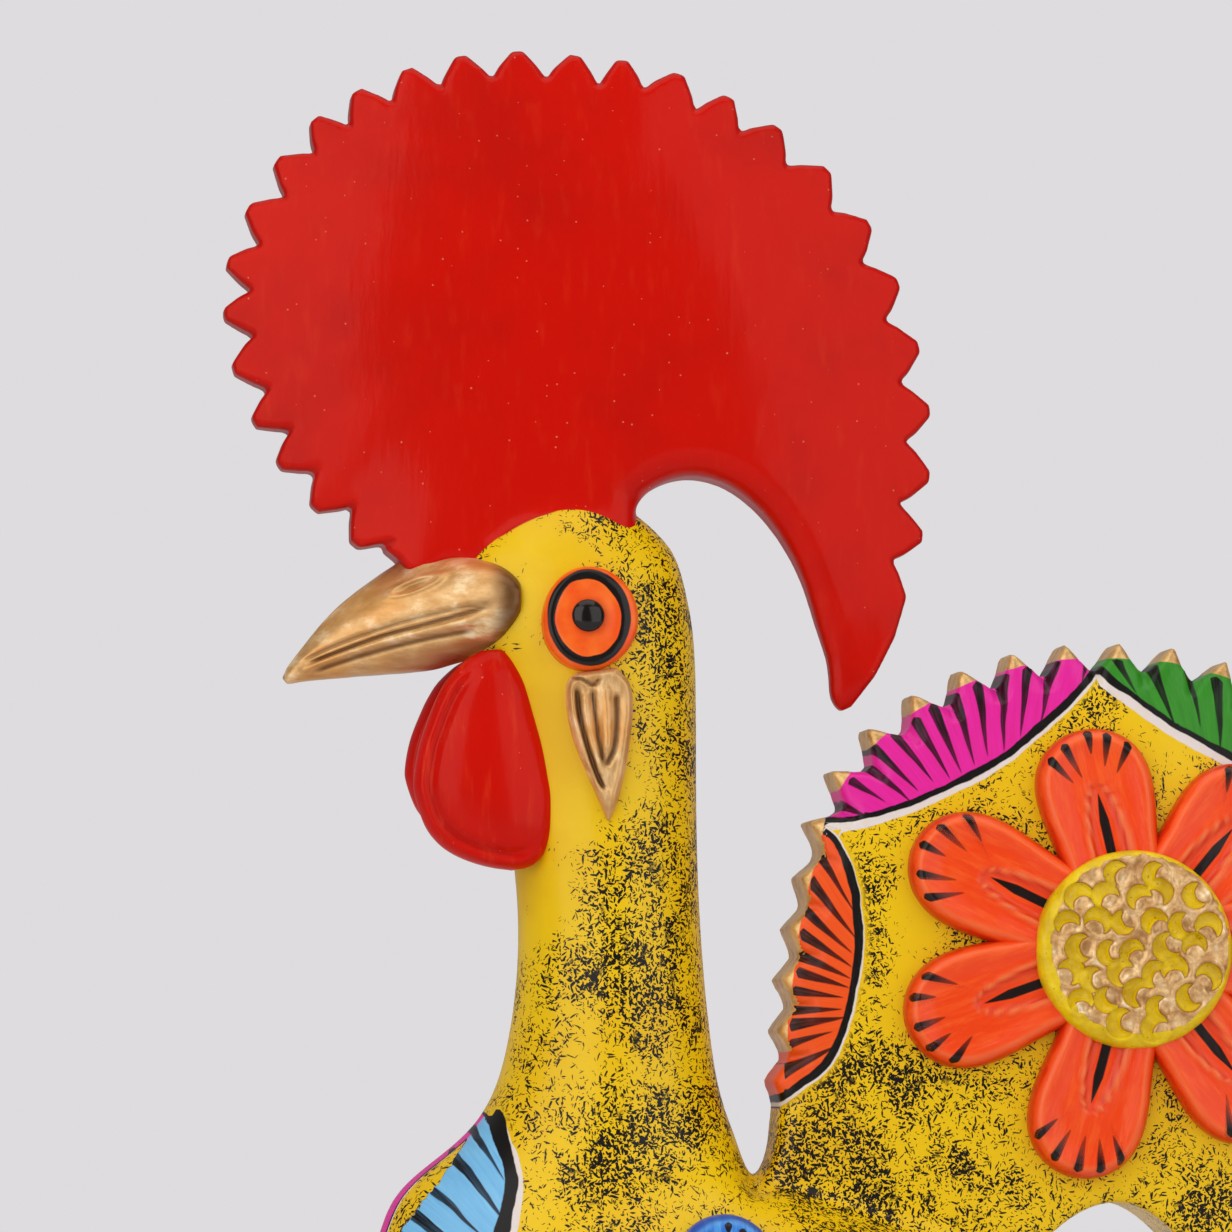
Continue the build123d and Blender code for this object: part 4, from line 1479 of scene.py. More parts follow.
@dataclass(frozen=True)
class EyePaint:
    """Orange enamel with an uneven black ring."""

    def material(self) -> bpy.types.Material:
        """The finished material."""
        recipe = Recipe("eye_paint")
        _, within, beyond, radius, _ = recipe.stored("edges")
        wobble = recipe.sway(recipe.grain(150.0, 3.0), 0.13)
        inner = recipe.ramp(recipe.plus(within, wobble), 0.985, 1.015)
        outer = recipe.ramp(recipe.plus(beyond, recipe.times(wobble, -0.4)), 0.985, 1.015, 1.0, 0.0)
        cloud = recipe.grain(150.0, 3.0, 0.6)
        colour = recipe.over(recipe.ramp(cloud, 0.35, 0.7), tint(244, 84, 16), tint(250, 110, 30))
        shade = recipe.ramp(radius, 2.5, 5.4, 0.6, 0.0)
        colour = recipe.over(shade, colour, tint(150, 30, 6))
        colour = recipe.over(recipe.times(inner, outer), colour, BLACK)
        return recipe.glaze(colour, 0.3, recipe.relief(cloud, 0.12, 0.6), 0.0, 0.35)


@dataclass(frozen=True)
class PupilPaint:
    """A drop of glossy black enamel."""

    def material(self) -> bpy.types.Material:
        """The finished material."""
        recipe = Recipe("pupil_paint")
        cloud = recipe.grain(200.0, 3.0, 0.6)
        colour = recipe.over(recipe.ramp(cloud, 0.4, 0.8), BLACK, tint(34, 26, 22))
        return recipe.glaze(colour, 0.16, recipe.relief(cloud, 0.08, 0.5), 0.0, 0.45)


@dataclass
class Eye:
    """A clay button for the eye and a raised drop for its pupil."""

    side: Side
    middle: tuple[float, float] = (-39.8, 418.7)
    radius: float = 12.2
    stretch: tuple[float, float] = (0.97, 1.08)
    relief: float = 2.4
    pupil_radius: float = 4.05
    pupil_relief: float = 1.7
    pupil_shift: tuple[float, float] = (-0.8, 0.4)

    def seat(self, piece: bpy.types.Object, body: PaintedBody) -> None:
        """Lays a turned shape on the side of the head, its front edge towards the beak.

        Args:
            piece: The shape, which faces up about the origin.
            body: The bird's finished skin.
        """
        if self.side is Side.RIGHT:
            piece.data.transform(Matrix.Scale(-1, 4, (1, 0, 0)))
            piece.data.flip_normals()
        x, z = self.middle
        hits = []
        for dx, dz in ((0, 0), (9, 0), (-9, 0), (0, 9), (0, -9)):
            beside = Vector(((x + dx) * MM, self.side.value * 0.2, (z + dz) * MM))
            hits.append(body.tree.ray_cast(beside, Vector((0, -self.side.value, 0)))[0])
        hit, *corners = hits
        normal = (corners[0] - corners[1]).cross(corners[2] - corners[3]).normalized()
        if normal.y * self.side.value < 0:
            normal = -normal
        turn = normal.to_track_quat("Z", "Y").to_matrix().to_4x4()
        middle = sum(corners, Vector()) / 4
        piece.data.transform(Matrix.Translation(hit * 0.35 + middle * 0.65) @ turn)
        piece.data.update()

    def make(self, body: PaintedBody) -> None:
        """Builds the button and the pupil and dresses them."""
        side = self.side.name.lower()
        profile = [(0.0, self.relief + 0.9)]
        profile += [(self.radius * share, self.relief + 0.9 - 0.75 * share**2) for share in
                    (0.08, 0.16, 0.24, 0.32, 0.4, 0.48, 0.56, 0.64, 0.72, 0.8, 0.86)]
        for step in range(1, 9):
            turn = math.pi / 2 * step / 8
            profile.append((self.radius * (0.86 + 0.14 * math.sin(turn)), self.relief * math.cos(turn) + 0.3))
        profile += [(self.radius, -1.0), (self.radius, -3.0), (0.0, -3.0)]
        eye = as_piece(turned(profile, 96), f"eye_{side}")
        places = places_of(eye.data)
        around = np.arctan2(places[:, 1], places[:, 0])
        radius = np.hypot(places[:, 0], places[:, 1])
        wobble = 1 + 0.022 * np.sin(2 * around + 0.6) + 0.012 * np.sin(3 * around + 2.0)
        places[:, :2] *= wobble[:, None] * np.array(self.stretch)
        within = np.hypot((places[:, 0] + 0.85) / 8.1, (places[:, 1] + 0.1) / 9.8)
        beyond = np.hypot((places[:, 0] + 0.55) / 10.4, places[:, 1] / 12.05)
        ring = smooth_step(0.96, 1.06, within) * smooth_step(1.03, 0.95, beyond) * (places[:, 2] > 0)
        places[:, 2] += 0.32 * ring
        move_vertices(eye.data, places)
        store(eye.data, "edges", np.stack([within, beyond, radius, radius], axis=1))
        self.seat(eye, body)
        dress(eye, EyePaint().material(), "orange_eye", f"eye_{side}")
        top = self.relief + 0.75
        drop = [(0.0, top + self.pupil_relief)]
        for step in range(1, 13):
            turn = math.pi / 2 * step / 12
            drop.append((self.pupil_radius * math.sin(turn), top + self.pupil_relief * math.cos(turn)))
        drop += [(self.pupil_radius, top - 1.0), (0.0, top - 1.0)]
        pupil = as_piece(turned(drop, 64), f"pupil_{side}")
        pupil.data.transform(Matrix.Translation((self.pupil_shift[0] * MM, self.pupil_shift[1] * MM, 0)))
        self.seat(pupil, body)
        dress(pupil, PupilPaint().material(), "black_pupil", f"pupil_{side}")


@dataclass
class Beak:
    """The gilded beak with its mouth line, mandible ridges and nostrils."""

    shares: tuple[tuple[float, float, float, float], ...] = (
        (-54.6, 425.0, 423.6, 17.5), (-56.5, 429.4, 418.6, 20.6), (-59.0, 432.2, 414.6, 21.6),
        (-63.0, 434.4, 411.4, 21.2), (-70.0, 435.8, 409.2, 19.0), (-76.0, 435.6, 407.4, 16.6),
        (-82.0, 435.0, 406.5, 14.2), (-88.0, 432.2, 406.0, 12.0), (-94.0, 428.2, 405.5, 9.8),
        (-100.0, 423.4, 405.0, 7.6), (-105.0, 418.2, 404.5, 5.8), (-109.5, 412.6, 404.0, 4.2),
        (-112.8, 408.2, 403.5, 2.6), (-114.4, 405.6, 404.2, 0.6),
    )
    upper_line: Points = (
        (-62.0, 423.2), (-72.0, 421.3), (-83.0, 418.8), (-93.0, 415.8), (-102.4, 412.4), (-110.5, 408.4),
    )
    lower_line: Points = (
        (-62.5, 422.2), (-72.0, 419.7), (-81.0, 417.3), (-90.0, 415.0), (-99.0, 411.9), (-109.5, 407.9),
    )
    ridge_line: Points = ((-66.0, 416.0), (-74.0, 415.0), (-84.0, 413.0), (-96.0, 409.8), (-108.0, 406.0))
    nostril: tuple[float, float] = (-82.4, 427.4)

    def make(self) -> None:
        """Builds the beak and dresses it."""
        bm = bmesh.new()
        bmesh.ops.create_uvsphere(bm, u_segments=200, v_segments=170, radius=1.0)
        piece = as_piece(bm, "beak")
        ball = places_of(piece.data) * MM
        table = smooth_line(self.shares)
        table = table[np.argsort(-table[:, 0])]
        turn = np.arccos(np.clip(ball[:, 2], -1, 1)) / math.pi
        share = 0.5 - 0.5 * np.cos(math.pi * np.clip(turn, 0, 1))
        share = 0.45 * share + 0.55 * turn
        x = table[0, 0] + (table[-1, 0] - table[0, 0]) * share
        top, bottom, half = (np.interp(-x, -table[:, 0], table[:, i]) for i in (1, 2, 3))
        close = np.sqrt(np.clip(np.minimum(turn / 0.06, 1), 0, 1)) * np.sqrt(np.clip((1 - turn) / 0.03, 0, 1))
        around = np.arctan2(ball[:, 1], ball[:, 0])
        up, out = np.cos(around), np.sin(around)
        middle = (top + bottom) / 2
        full = 0.18 * smooth_step(-76, -62, x)
        z = middle + (top - bottom) / 2 * np.sign(up) * np.abs(up) ** (0.92 - full) * close
        y = half * np.sign(out) * np.abs(out) ** (0.9 - full) * close
        ridge = smooth_step(-72, -86, x) * smooth_step(0.1, 1.0, up)
        y = y * (1 - 0.24 * ridge)
        flat = np.stack([x, z], axis=1)
        facing = smooth_step(0.15, 0.6, np.abs(out))
        cut = np.zeros(len(x))
        for line, depth, width in (
            (self.upper_line, 0.9, 0.55), (self.lower_line, 1.3, 0.5), (self.ridge_line, 1.0, 0.9)
        ):
            gap, along = line_distance(flat, smooth_line(line))
            cut += depth * bell(gap, width) * smooth_step(0.0, 0.12, along) * smooth_step(1.02, 0.9, along)
        between = (np.array(self.lower_line) + np.array(self.ridge_line + ((-109.0, 405.6),))) / 2
        gap, along = line_distance(flat, smooth_line(tuple(map(tuple, between))))
        swell = bell(gap, 1.1) * smooth_step(0.0, 0.15, along)
        lean = math.radians(20)
        du, dv = x - self.nostril[0], z - self.nostril[1]
        a = du * math.cos(lean) + dv * math.sin(lean)
        b = dv * math.cos(lean) - du * math.sin(lean)
        slit = np.sqrt((a / 3.9) ** 2 + (b / 0.95) ** 2)
        cut += 0.6 * np.exp(-(slit**4)) * (up > -0.2)
        swell += 1.0 * bell(slit - 1.6, 0.5) * (up > -0.2)
        swell += 0.8 * bell(np.hypot(x + 80.5, z - 433.6), 3.2)
        y = y - np.sign(y) * np.minimum((cut - swell) * facing, np.abs(y) * 0.8)
        z = z + 1.1 * bell(x + 82.0, 4.5) * smooth_step(0.75, 1.0, up)
        grit = uneven(x * 0.16, y * 0.16, z * 0.16)
        scale = 1 + 0.018 * grit
        places = np.stack([x, y * scale, middle + (z - middle) * scale], axis=1)
        move_vertices(piece.data, places)
        rows = np.zeros((len(x), 4))
        # Painted shade for the gold: darker in the cut lines, towards the root at the head and on the underside
        root = smooth_step(-68, -58.5, x) * 0.85
        under = smooth_step(-0.5, -0.95, up) * 0.2
        rows[:, 0] = np.clip(np.clip(cut * 0.72, 0, 0.9) + root + under, 0, 1)
        red = 0.8 * bell(x + 86.5, 4.0) * smooth_step(0.55, 0.9, up)
        red += 0.8 * bell(x + 73, 8.0) * smooth_step(-0.55, -0.85, up)
        rows[:, 2] = np.clip(red, 0, 1)
        store(piece.data, "edges", rows)
        self.face_outwards(piece)
        dress(piece, BrushedGold().material(), "gold_beak", "beak")

    def face_outwards(self, piece: bpy.types.Object) -> None:
        """Turns the faces outwards and evens out the poles."""
        bm = bmesh.new()
        bm.from_mesh(piece.data)
        bmesh.ops.recalc_face_normals(bm, faces=bm.faces)
        bm.to_mesh(piece.data)
        bm.free()
        soften(piece.data, np.ones(len(piece.data.vertices), bool), 1, 0.4)


@dataclass
class EarLobe:
    """A leaf of clay pressed on under the eye and gilded."""

    side: Side
    relief: float = 4.0
    front: Points = (
        (-42.9, 405.4), (-45.2, 403.4), (-45.6, 398.5), (-44.2, 390.3), (-41.3, 382.5), (-38.3, 375.6), (-35.5, 369.2))
    back: Points = (
        (-33.4, 406.7), (-30.1, 402.8), (-29.3, 396.5), (-30.1, 387.5), (-31.5, 379.3), (-33.1, 372.9), (-34.9, 368.8))
    grooves: tuple[tuple[Points, float, float], ...] = (
        (((-43.1, 402.6), (-42.3, 395.3), (-40.3, 387.1), (-37.5, 378.9), (-35.5, 375.6)), 1.5, 0.62),
        (((-39.5, 401.7), (-38.8, 396.2), (-37.7, 388.9), (-36.5, 382.5)), 1.3, 0.5),
        (((-33.7, 400.8), (-33.5, 393.5), (-34.3, 386.2), (-36.5, 381.6)), 1.2, 0.75),
        (((-44.7, 404.1), (-41.9, 403.7), (-39.3, 402.3), (-37.5, 403.9)), 1.0, 0.5),
    )
    ridges: tuple[tuple[Points, float, float], ...] = (
        (((-41.1, 399.0), (-40.5, 393.5), (-38.9, 386.2), (-37.3, 380.7)), 0.9, 1.0),
        (((-36.5, 400.8), (-35.9, 393.5), (-35.7, 387.1)), 1.1, 1.4),
    )

    def make(self, body: PaintedBody) -> None:
        """Builds the lobe and dresses it.

        Args:
            body: The bird's finished skin.
        """
        bm = bmesh.new()
        bmesh.ops.create_grid(bm, x_segments=44, y_segments=110, size=1.0)
        node = f"earlobe_{self.side.name.lower()}"
        piece = as_piece(bm, node)
        grid = places_of(piece.data) * MM
        front, back = smooth_line(self.front, 20), smooth_line(self.back, 20)
        share = (1 - grid[:, 1]) / 2
        pick = share * (len(front) - 1)
        sides = []
        for line in (front, back):
            sides.append([np.interp(pick, np.arange(len(line)), line[:, i]) for i in (0, 1)])
        across = (np.sin(grid[:, 0] * math.pi / 2) + 1) / 2
        x = sides[0][0] * (1 - across) + sides[1][0] * across
        z = sides[0][1] * (1 - across) + sides[1][1] * across
        flat = np.stack([x, z], axis=1)
        outline = np.vstack([front, back[::-1], front[:1]])
        edge, _ = line_distance(flat, outline)
        rise = 1 - np.clip(edge / 2.2, 0, 1)
        height = self.relief * (0.12 + 0.88 * rounding(rise)) * smooth_step(-3, 9, z - 367)
        cut = np.zeros(len(x))
        for line, depth, width in self.grooves:
            gap, along = line_distance(flat, smooth_line(line))
            cut += depth * bell(gap, width) * smooth_step(0, 0.1, along) * smooth_step(1.0, 0.9, along)
        for line, depth, width in self.ridges:
            gap, _ = line_distance(flat, smooth_line(line))
            height += depth * bell(gap, width)
        height = height - cut * smooth_step(0.3, 1.4, edge) - 0.35 * smooth_step(1.6, 3.0, edge)
        points, normals = body.surface(self.side, x, z)
        facing = np.array([0.0, float(self.side.value), 0.0])
        lift = 0.6 * normals + 0.4 * facing
        lift /= np.linalg.norm(lift, axis=1)[:, None]
        grit = uneven(x * 0.35, z * 0.35, 2.0)
        move_vertices(piece.data, points + lift * (height + 0.22 * grit)[:, None])
        rows = np.zeros((len(x), 4))
        # Painted shade in the grooves
        rows[:, 0] = np.clip(cut * 0.8, 0, 1)
        store(piece.data, "edges", rows)
        close_back(piece, self.side, 2.0)
        dress(piece, BrushedGold("pressed_gold", (1.0, 1.0, 0.3)).material(), "gold_earlobe", node)


# ---- flowers --------------------------------------------------------------------------------


@dataclass(frozen=True)
class PetalPaint:
    """Thick petal paint with a long stroke in the groove and short ticks at the tip."""

    name: str
    colour: tuple[float, float, float, float]
    light: tuple[float, float, float, float]
    # border also colours the painted shade in the groove, and lip the painted highlights on the lip and crest
    border: tuple[float, float, float, float]
    lip: tuple[float, float, float, float]
    border_width: float = 0.9
    tick_angle: float = 0.30
    tick_start: float = 0.6
    tick_length: float = 6.2

    def material(self) -> bpy.types.Material:
        """The finished material."""
        recipe = Recipe(self.name)
        _, across, along, edge, luck = recipe.stored("leaf")
        brushed = recipe.join(recipe.times(across, 1.0), recipe.times(along, 0.16), luck)
        hairs = recipe.grain(0.7, 5.0, 0.62, place=brushed)
        cloud = recipe.grain(70.0, 3.0, 0.6)
        colour = recipe.over(recipe.ramp(hairs, 0.42, 0.74, 0.0, 0.75), self.colour, self.light)
        colour = recipe.over(recipe.ramp(cloud, 0.5, 0.75, 0.0, 0.4), colour, self.light)
        wobble = recipe.sway(recipe.grain(140.0, 3.0), 1.4)
        rough_edge = recipe.plus(edge, wobble)
        # Painted highlights on the lips and on the crest near the edge, and painted shade in the groove inside the lip
        _, lip, painted_hollow_shade, painted_crest_highlight, _ = recipe.stored("fold")
        colour = recipe.over(recipe.times(painted_hollow_shade, 0.55), colour, self.border)
        colour = recipe.over(recipe.times(lip, 0.75), colour, self.lip)
        colour = recipe.over(recipe.times(painted_crest_highlight, 0.4), colour, self.lip)
        border = recipe.ramp(rough_edge, self.border_width * 0.6, self.border_width * 1.4, 0.75, 0.0)
        colour = recipe.over(border, colour, self.border)
        # Ticks in a fan about the petal's middle
        angle = recipe.sum("ARCTAN2", across, recipe.minus(along, 15.0))
        reach = recipe.length(across, recipe.minus(along, 15.0))
        lane = recipe.plus(recipe.sum("DIVIDE", angle, self.tick_angle), 2.5)
        which = recipe.sum("FLOOR", lane)
        chance = recipe.chance(recipe.plus(which, recipe.times(luck, 31.0)))
        inside = recipe.times(recipe.sum("GREATER_THAN", lane, 0.0), recipe.sum("LESS_THAN", lane, 5.0))
        centre = recipe.plus(0.5, recipe.sway(chance, 0.22))
        aside = recipe.absolute(recipe.minus(recipe.sum("FRACT", lane), centre))
        aside = recipe.times(recipe.times(aside, self.tick_angle), reach)
        started = recipe.minus(edge, recipe.plus(self.tick_start, recipe.times(chance, 0.9)))
        length = recipe.plus(self.tick_length, recipe.times(chance, self.tick_length * 0.55))
        rest = recipe.minus(1.0, recipe.sum("DIVIDE", started, length), clamp=True)
        head = recipe.power(recipe.ramp(started, 0.0, 0.9), 0.5)
        half = recipe.times(recipe.times(recipe.power(rest, 0.65), head), 1.25)
        tick = recipe.times(recipe.under(aside, half, 0.25), recipe.ramp(half, 0.02, 0.14))
        tick = recipe.times(tick, inside)
        black = recipe.ramp(started, 2.0, 7.5, 1.0, 0.7)
        colour = recipe.over(recipe.times(tick, black), colour, tint(24, 10, 8))
        # The long stroke in the groove, wide at the root and pointed outwards
        run = recipe.sum("DIVIDE", recipe.minus(along, 2.6), 17.0)
        rest = recipe.minus(1.0, run, clamp=True)
        head = recipe.power(recipe.ramp(run, 0.0, 0.10), 0.5)
        bent = recipe.plus(across, recipe.sway(luck, 1.2))
        body = recipe.power(recipe.times(rest, 2.4, clamp=True), 0.9)
        half = recipe.times(recipe.times(body, head), 1.2)
        stroke = recipe.under(recipe.absolute(bent), half, 0.28)
        stroke = recipe.times(stroke, recipe.ramp(half, 0.02, 0.14))
        colour = recipe.over(stroke, colour, tint(24, 11, 8))
        normal = recipe.relief(hairs, 0.16, 0.7, on=recipe.relief(cloud, 0.6, 0.5))
        return recipe.glaze(colour, recipe.ramp(cloud, 0.2, 0.8, 0.26, 0.36), normal, 0.0, 0.25)


@dataclass(frozen=True)
class StampPaint:
    """Yellow hollows between a rubbed web of gold."""

    def material(self) -> bpy.types.Material:
        """The finished material."""
        recipe = Recipe("stamped_gilt")
        height = recipe.stored("edges")[1]
        rub = recipe.grain(300.0, 4.0, 0.62)
        patch = recipe.grain(150.0, 3.0, 0.6)
        level = recipe.plus(height, recipe.sway(patch, 1.5))
        gilt = recipe.ramp(level, -0.72, -0.52)
        yellow = recipe.over(recipe.ramp(patch, 0.3, 0.7), tint(238, 204, 10), tint(212, 174, 4))
        pit = recipe.ramp(recipe.grain(1300.0, 1.0), 0.72, 0.76)
        yellow = recipe.over(recipe.times(pit, 0.6), yellow, tint(90, 62, 4))
        gold = recipe.over(recipe.ramp(rub, 0.35, 0.62), tint(196, 144, 86), tint(232, 190, 132))
        gold = recipe.over(recipe.ramp(rub, 0.56, 0.72), gold, tint(255, 232, 190))
        # Painted shade on the gold web where it drops into the stamped hollows
        gold = recipe.over(recipe.ramp(level, -0.02, -0.6, 0.0, 0.8), gold, tint(146, 92, 42))
        colour = recipe.over(gilt, yellow, gold)
        normal = recipe.relief(rub, 0.35, 0.7)
        rough = recipe.blend(gilt, 0.34, 0.32)
        return recipe.glaze(colour, rough, normal, recipe.times(gilt, 0.5), 0.25)


@dataclass
class Flower:
    """A relief flower of thick petals round a stamped centre."""

    name: str
    side: Side
    middle: tuple[float, float]
    reach: float
    petal_width: float
    root_width: float
    relief: float
    angles: tuple[float, ...]
    disc_radius: float
    disc_relief: float
    disc_rim: float
    paint: PetalPaint
    petal_slot: str
    stamps: int
    seed: int
    reach_shares: tuple[float, ...] = (1.0,) * 7
    turn_share: float = 0.56
    finish: bpy.types.Material = field(init=False)

    def half_width(self, share: np.ndarray) -> np.ndarray:
        """Half a petal's width at shares of its length."""
        growth = smooth_step(0, self.turn_share, share)
        full = (self.root_width + (self.petal_width - self.root_width) * growth) / 2
        return full * rounding(np.clip((share - self.turn_share) / (1 - self.turn_share), 0, 1), 2.3)

    def petal(self, number: int, angle: float, body: PaintedBody) -> None:
        """Builds one petal and dresses it.

        Args:
            number: Its number round the flower.
            angle: Its direction in the side view, in degrees.
            body: The bird's finished skin.
        """
        bm = bmesh.new()
        bmesh.ops.create_grid(bm, x_segments=40, y_segments=60, size=1.0)
        node = f"{self.name}_petal_{number}_{self.side.name.lower()}"
        piece = as_piece(bm, node)
        grid = places_of(piece.data) * MM
        start = self.disc_radius * 0.82
        length = self.reach * self.reach_shares[number - 1] - start
        share = np.sin((grid[:, 1] + 1) / 2 * math.pi / 2)
        across = np.sin(grid[:, 0] * math.pi / 2) * self.half_width(share)
        along = share * length
        levels = np.sin(np.linspace(0, math.pi / 2, 90))
        outline = np.stack([self.half_width(levels), levels * length], axis=1)
        edge, _ = line_distance(np.stack([np.abs(across), along], axis=1), outline)
        rise = 1 - np.clip(edge / 3.2, 0, 1)
        height = self.relief * (0.18 + 0.82 * rounding(rise, 2.2))
        height += 0.35 * bell(edge - 3.0, 1.3)
        height -= 0.75 * smooth_step(3.2, 8.5, edge)
        run = np.clip((along - 2.0) / 20.0, 0, 1)
        leaf = 4.6 * rounding(run) * (along < 22.5) + 0.01
        inside = np.abs(across) / leaf
        groove = smooth_step(1.05, 0.72, inside) * smooth_step(23.0, 20.0, along)
        lip = bell(inside - 1.10, 0.12) * smooth_step(24.0, 20.0, along)
        height += 0.85 * lip - 1.25 * groove
        turn = math.radians(angle)
        out = along + start
        x = self.middle[0] + out * math.cos(turn) - across * math.sin(turn)
        z = self.middle[1] + out * math.sin(turn) + across * math.cos(turn)
        points, normals = body.surface(self.side, x, z)
        facing = np.array([0.0, float(self.side.value), 0.0])
        lift = 0.5 * normals + 0.5 * facing
        lift /= np.linalg.norm(lift, axis=1)[:, None]
        ripple = uneven(x * 0.11, z * 0.11, number * 3.1)
        move_vertices(piece.data, points + lift * (height + 0.30 * ripple * (edge > 1.0))[:, None])
        luck = (number * 0.37 + (0.21 if self.side is Side.LEFT else 0.63)) % 1.0
        store(piece.data, "leaf", np.stack([across, along, edge, np.full(len(x), luck)], axis=1))
        # Masks for the painted shade in the groove and the painted highlights on the lip and crest
        painted_hollow_shade = bell(inside - 0.84, 0.16) * smooth_step(24.0, 20.0, along)
        painted_crest_highlight = bell(edge - 2.4, 0.9)
        store(piece.data, "fold", np.stack([lip, painted_hollow_shade, painted_crest_highlight, painted_crest_highlight], axis=1))
        close_back(piece, self.side, 2.4)
        dress(piece, self.finish, self.petal_slot, node)

    def disc(self, body: PaintedBody) -> None:
        """Builds the stamped centre and dresses it."""
        cells = int(self.disc_radius * 5.2)
        bm = bmesh.new()
        bmesh.ops.create_grid(bm, x_segments=cells, y_segments=cells, size=1.0)
        node = f"{self.name}_flower_centre_{self.side.name.lower()}"
        piece = as_piece(bm, node)
        grid = places_of(piece.data) * MM
        a, b = grid[:, 0], grid[:, 1]
        u = a * np.sqrt(1 - b * b / 2) * self.disc_radius
        v = b * np.sqrt(1 - a * a / 2) * self.disc_radius
        radius = np.hypot(u, v)
        edge = self.disc_radius - radius
        rise = 1 - np.clip(edge / 2.4, 0, 1)
        dome = self.disc_rim + (self.disc_relief - self.disc_rim) * (1 - (radius / self.disc_radius) ** 2)
        height = dome * (0.70 + 0.30 * rounding(rise))
        luck = np.random.default_rng(self.seed)
        stamp = np.zeros(len(u))
        ring = 3.5
        pitch = self.disc_radius * 1.76 / math.sqrt(self.stamps)
        rows = int(self.disc_radius * 2 / pitch) + 2
        for row in range(-rows, rows + 1):
            for column in range(-rows, rows + 1):
                cu = (column + 0.5 * (row % 2)) * pitch + luck.normal(0, 0.8)
                cv = row * pitch * 0.88 + luck.normal(0, 0.8)
                lean = luck.normal(2.3, 0.9)
                size = luck.uniform(0.92, 1.12) * ring
                depth = luck.uniform(1.5, 2.2)
                firm = luck.uniform(0.8, 1.0)
                if math.hypot(cu, cv) > self.disc_radius - 3.8:
                    continue
                du, dv = u - cu, v - cv
                away = np.hypot(du, dv)
                towards = np.cos(np.arctan2(dv, du) - lean)
                wall = smooth_step(size, size - 0.6, away)
                knob = smooth_step(3.0, 2.1, np.hypot(du + 2.3 * math.cos(lean), dv + 2.3 * math.sin(lean)))
                cut = wall * np.clip(0.75 + 0.3 * towards, 0, 1) * (1 - firm * knob)
                stamp = np.minimum(stamp, -depth * cut)
                height = np.maximum(height, height + 0.35 * bell(away - size - 0.5, 0.6))
        burr = uneven(u * 0.4, v * 0.4, self.seed)
        fine = uneven(u * 1.1, v * 1.1, self.seed + 5)
        height += stamp + 0.35 * burr + 0.10 * fine
        points, _ = body.surface(self.side, np.array([self.middle[0]]), np.array([self.middle[1]]))
        y = points[0][1] + self.side.value * height
        move_vertices(piece.data, np.stack([self.middle[0] + u, y, self.middle[1] + v], axis=1))
        lopsided = 1.2 * np.clip(-(u + v) / self.disc_radius, -1, 1)
        rim_yellow = np.where(edge < 2.3 + 0.9 * burr + lopsided, -2.0, 0.0)
        rows_kept = np.zeros((len(u), 4))
        rows_kept[:, 0] = stamp + rim_yellow
        store(piece.data, "edges", rows_kept)
        close_back(piece, self.side, self.disc_rim + 4.0)
        dress(piece, StampPaint().material(), "gilt_disc", node)

    def make(self, body: PaintedBody) -> None:
        """Builds every petal and the centre."""
        self.finish = self.paint.material()
        for number, angle in enumerate(self.angles, start=1):
            self.petal(number, angle, body)
        self.disc(body)


# ---- pedestal, plinth and feet --------------------------------------------------------------


@dataclass
class Pedestal:
    """The bell under the bird, speckled and ringed with fans."""

    base: float = 20.0
    height: float = 130.0
    waist: float = 37.5
    flare: float = 22.5
    shares: Points = (
        (0.0, 1.0), (0.115, 0.778), (0.308, 0.289), (0.538, -0.133), (0.769, -0.2), (0.923, -0.067), (1.0, 0.0))

    def radius_at(self, z: np.ndarray) -> np.ndarray:
        """The bell's radius at heights in millimetres."""
        table = smooth_line(self.shares, 24)
        return self.waist + self.flare * np.interp((z - self.base) / self.height, table[:, 0], table[:, 1])

    def make(self) -> None:
        """Builds the pedestal, paints it and dresses it."""
        heights = np.linspace(self.base, self.base + self.height, 84)
        profile = [(0.0, self.base)]
        profile += [(float(r), float(z)) for r, z in zip(self.radius_at(heights), heights)]
        profile += [(self.waist - 1.2, self.base + self.height + 1.6), (0.0, self.base + self.height + 1.6)]
        piece = as_piece(turned(profile, 200), "pedestal")
        places = places_of(piece.data)
        fans = FanField.empty(len(places))
        middle = 50.0
        around = np.arctan2(places[:, 1], places[:, 0]) * middle
        unrolled = np.stack([around, places[:, 2]], axis=1)
        for fan in skirt_fans(8, 20.5, 30.0, middle, (MAGENTA, GREEN, ORANGE, SKY)):
            fans.add(fan, unrolled, np.ones(len(places), bool))
        rows = np.zeros((len(places), 4))
        rows[:, 0] = fans.line
        rows[:, 1] = np.abs(places[:, 2] - 20.0) - 2.2
        rows[:, 2] = 0.44 + 0.14 * bell(places[:, 2] - 110, 18)
        rows[:, 3] = -60.0
        store(piece.data, "edges", rows)
        store(piece.data, "fans", fans.brush)
        store(piece.data, "fan_colour", fans.colour)
        dress(piece, SpeckledPaint().material(), "speckled_pedestal", "pedestal")


